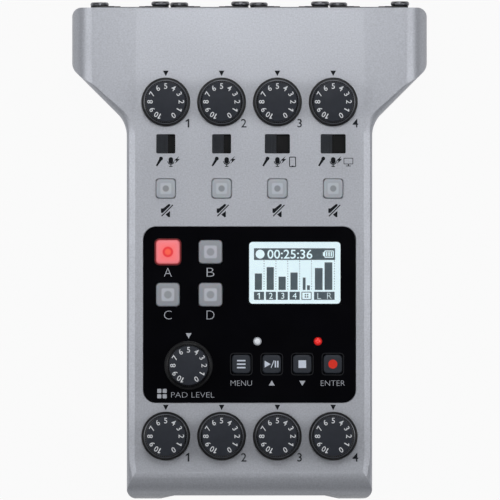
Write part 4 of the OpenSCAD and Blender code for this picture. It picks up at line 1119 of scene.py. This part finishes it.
# Places of the plate's marks from the middles of their controls
POINTER_Y = 9.1 * MM
NUMERAL_X = 7.0 * MM
NUMERAL_Y = -6.7 * MM
NUMERAL_H = 2.7 * MM
ICON_ROW_Y = -5.7 * MM
ICON_ROW_SHIFT = {1: 0, 2: 0, 3: -1.6 * MM, 4: -1.6 * MM}
HAND_MIC_X = -2.1 * MM
STAND_MIC_X = 1.6 * MM
BOLT_X = 3.5 * MM
BOLT_Y = 0.6 * MM
THIRD_ICON_X = 6.4 * MM
SPEAKER_X = 0.3 * MM
SPEAKER_Y = -6.95 * MM


def print_plate():
    marks = Print(PLATE_Z)
    numerals = Print(PLATE_Z)
    for k in CHANNELS:
        for row in ("gain", "phones"):
            at = middle(f"{row}_knob_{k}")
            marks.at(at.x, at.y + POINTER_Y, POINTER)
            numerals.number(k, at.x + NUMERAL_X, at.y + NUMERAL_Y, NUMERAL_H, weight=LETTER_BOLD)
        x = middle(f"gain_knob_{k}").x + ICON_ROW_SHIFT[k]
        y = middle(f"mode_slider_{k}").y + ICON_ROW_Y
        hand_mic(marks, x + HAND_MIC_X, y)
        stand_mic(marks, x + STAND_MIC_X, y)
        marks.at(x + BOLT_X, y + BOLT_Y, BOLT)
        if k == 3:
            phone_icon(marks, x + THIRD_ICON_X, y)
        if k == 4:
            screen_icon(marks, x + THIRD_ICON_X, y)
        mute = middle(f"mute_button_{k}")
        muted_speaker(marks, mute.x + SPEAKER_X, mute.y + SPEAKER_Y)
    marks.finish("plate_marks", DARK_INK, "case")
    numerals.finish("plate_numerals", GREY_INK, "case")


# Places and sizes of the panel's marks
PAD_LETTER_Y = -6.4 * MM
PAD_LETTER_H = 2.75 * MM
PAD_LETTER_W = 2.45 * MM
PAD_POINTER_Y = 9.4 * MM
KEY_LABEL_Y = -6.0 * MM
WORD_H = 1.65 * MM
MENU_W = 6.7 * MM
ENTER_W = 7.6 * MM
UP_ARROW = [(-0.95, -0.75), (0.95, -0.75), (0, 0.85)]
DOWN_ARROW = [(-0.95, 0.75), (0.95, 0.75), (0, -0.85)]
TILES_X = -27.6 * MM
TILES_Y = -24.9 * MM
TILE_STEPS = (-0.85 * MM, 0.85 * MM)
TILE_HALF = 0.64
TILE_R = 0.2
PAD_LEVEL_X = -17.9 * MM
PAD_LEVEL_Y = TILES_Y - 0.4 * MM
PAD_LEVEL_W = 13.6 * MM


def print_panel():
    marks = Print(PANEL_Z)
    for letter in PADS:
        at = middle(f"pad_button_{letter}")
        marks.text(letter.upper(), at.x, at.y + PAD_LETTER_Y, PAD_LETTER_H, width=PAD_LETTER_W)
    knob = middle("pad_knob")
    marks.at(knob.x, knob.y + PAD_POINTER_Y, POINTER)
    label_y = middle("menu_button").y + KEY_LABEL_Y
    marks.text("MENU", middle("menu_button").x, label_y, WORD_H, width=MENU_W)
    marks.text("ENTER", middle("record_button").x, label_y, WORD_H, width=ENTER_W)
    marks.at(middle("play_button").x, label_y, UP_ARROW)
    marks.at(middle("stop_button").x, label_y, DOWN_ARROW)
    tile = [point[:2] for point in rounded(ORIGIN, TILE_HALF, TILE_HALF, TILE_R, 0, steps=3)]
    for column in TILE_STEPS:
        for row in TILE_STEPS:
            marks.at(PANEL.x + TILES_X + column, PANEL.y + TILES_Y + row, tile)
    marks.text("PAD LEVEL", PANEL.x + PAD_LEVEL_X, PANEL.y + PAD_LEVEL_Y, WORD_H, width=PAD_LEVEL_W)
    marks.finish("panel_marks", PANEL_INK, "case")


# Studio: floor, lamps and camera
FLOOR_HALF = 3.0
FLOOR_GREY = (0.2, 0.2, 0.2, 1)
FLOOR_GLOW = 0.95
BACKDROP = (0.95, 0.97, 1.0, 1)
BACKDROP_POWER = 0.06


def area_lamp(name, place, aim, size, power):
    lamp = bpy.data.lights.new(name, "AREA")
    lamp.shape = "RECTANGLE"
    lamp.size, lamp.size_y = size
    lamp.energy = power
    obj = bpy.data.objects.new(name, lamp)
    scene.collection.objects.link(obj)
    obj.location = place
    obj.rotation_euler = (Vector(aim) - Vector(place)).to_track_quat("-Z", "Y").to_euler()
    obj.visible_camera = False


def floor_material():
    """White to the camera and in reflections, and partly lit so that the shadow stays."""
    material = bpy.data.materials.new("floor")
    material.use_nodes = True
    tree = material.node_tree
    tree.nodes.clear()
    path = tree.nodes.new("ShaderNodeLightPath")
    mirrored = tree.nodes.new("ShaderNodeMath")
    mirrored.operation = "MAXIMUM"
    seen = tree.nodes.new("ShaderNodeMath")
    seen.operation = "MAXIMUM"
    lit = tree.nodes.new("ShaderNodeBsdfDiffuse")
    lit.inputs["Color"].default_value = FLOOR_GREY
    glow = tree.nodes.new("ShaderNodeEmission")
    glow.inputs["Strength"].default_value = 1.0
    share = tree.nodes.new("ShaderNodeMath")
    share.operation = "MULTIPLY"
    share.inputs[1].default_value = FLOOR_GLOW
    mix = tree.nodes.new("ShaderNodeMixShader")
    output = tree.nodes.new("ShaderNodeOutputMaterial")
    tree.links.new(path.outputs["Is Glossy Ray"], mirrored.inputs[0])
    tree.links.new(path.outputs["Is Transmission Ray"], mirrored.inputs[1])
    tree.links.new(path.outputs["Is Camera Ray"], seen.inputs[0])
    tree.links.new(mirrored.outputs["Value"], seen.inputs[1])
    tree.links.new(seen.outputs["Value"], share.inputs[0])
    tree.links.new(share.outputs["Value"], mix.inputs["Fac"])
    tree.links.new(lit.outputs["BSDF"], mix.inputs[1])
    tree.links.new(glow.outputs["Emission"], mix.inputs[2])
    tree.links.new(mix.outputs["Shader"], output.inputs["Surface"])
    return material


def build_studio():
    bm = bmesh.new()
    bm.faces.new([bm.verts.new((x * FLOOR_HALF, y * FLOOR_HALF, 0)) for x, y in
                  ((-1, -1), (1, -1), (1, 1), (-1, 1))])
    mesh = bpy.data.meshes.new("floor")
    bm.to_mesh(mesh)
    bm.free()
    mesh.materials.append(floor_material())
    floor = bpy.data.objects.new("floor", mesh)
    scene.collection.objects.link(floor)

    world = bpy.data.worlds.new("studio")
    scene.world = world
    world.use_nodes = True
    backdrop = world.node_tree.nodes["Background"]
    backdrop.inputs["Color"].default_value = BACKDROP
    backdrop.inputs["Strength"].default_value = BACKDROP_POWER

    aim = (0, 0.01, PLATE_Z)
    rear_edge = (0, high("top_shell").y, PLATE_Z)
    area_lamp("top", place=(0, 0.16, 0.52), aim=aim, size=(0.16, 0.10), power=0.55)
    area_lamp("rear", place=(0, 0.30, 0.14), aim=rear_edge, size=(0.17, 0.05), power=0.22)
    area_lamp("front", place=(0, -0.19, 0.45), aim=aim, size=(0.24, 0.08), power=0.13)
    area_lamp("left_strip", place=(-0.37, 0.03, 0.41), aim=aim, size=(0.20, 0.36), power=0.68)
    area_lamp("right_strip", place=(0.37, 0.03, 0.41), aim=aim, size=(0.20, 0.36), power=0.66)


# Camera far above the plate, looking straight down
PIXELS = 500
PIXELS_PER_METRE = 3170
SENSOR_W = 36
CAMERA_AWAY = 6.0
CAMERA_FAR = 20
CAMERA_X = 0.16 * MM


def build_camera():
    camera = bpy.data.cameras.new("camera")
    camera.sensor_width = SENSOR_W
    camera.lens = SENSOR_W * CAMERA_AWAY * PIXELS_PER_METRE / PIXELS
    camera.clip_end = CAMERA_FAR
    obj = bpy.data.objects.new("camera", camera)
    scene.collection.objects.link(obj)
    obj.location = (CAMERA_X, 0, PLATE_Z + CAMERA_AWAY)
    scene.camera = obj


scene.view_settings.view_transform = "Standard"
build_camera()
build_studio()
dress_case()
for channel in CHANNELS:
    dress_knob(f"gain_knob_{channel}")
    dress_knob(f"phones_knob_{channel}")
dress_knob("pad_knob")
dress_buttons()
dress_key_symbols()
dress_sliders()
dress_display()
dress_status_lights()
dress_sockets()
print_plate()
print_panel()
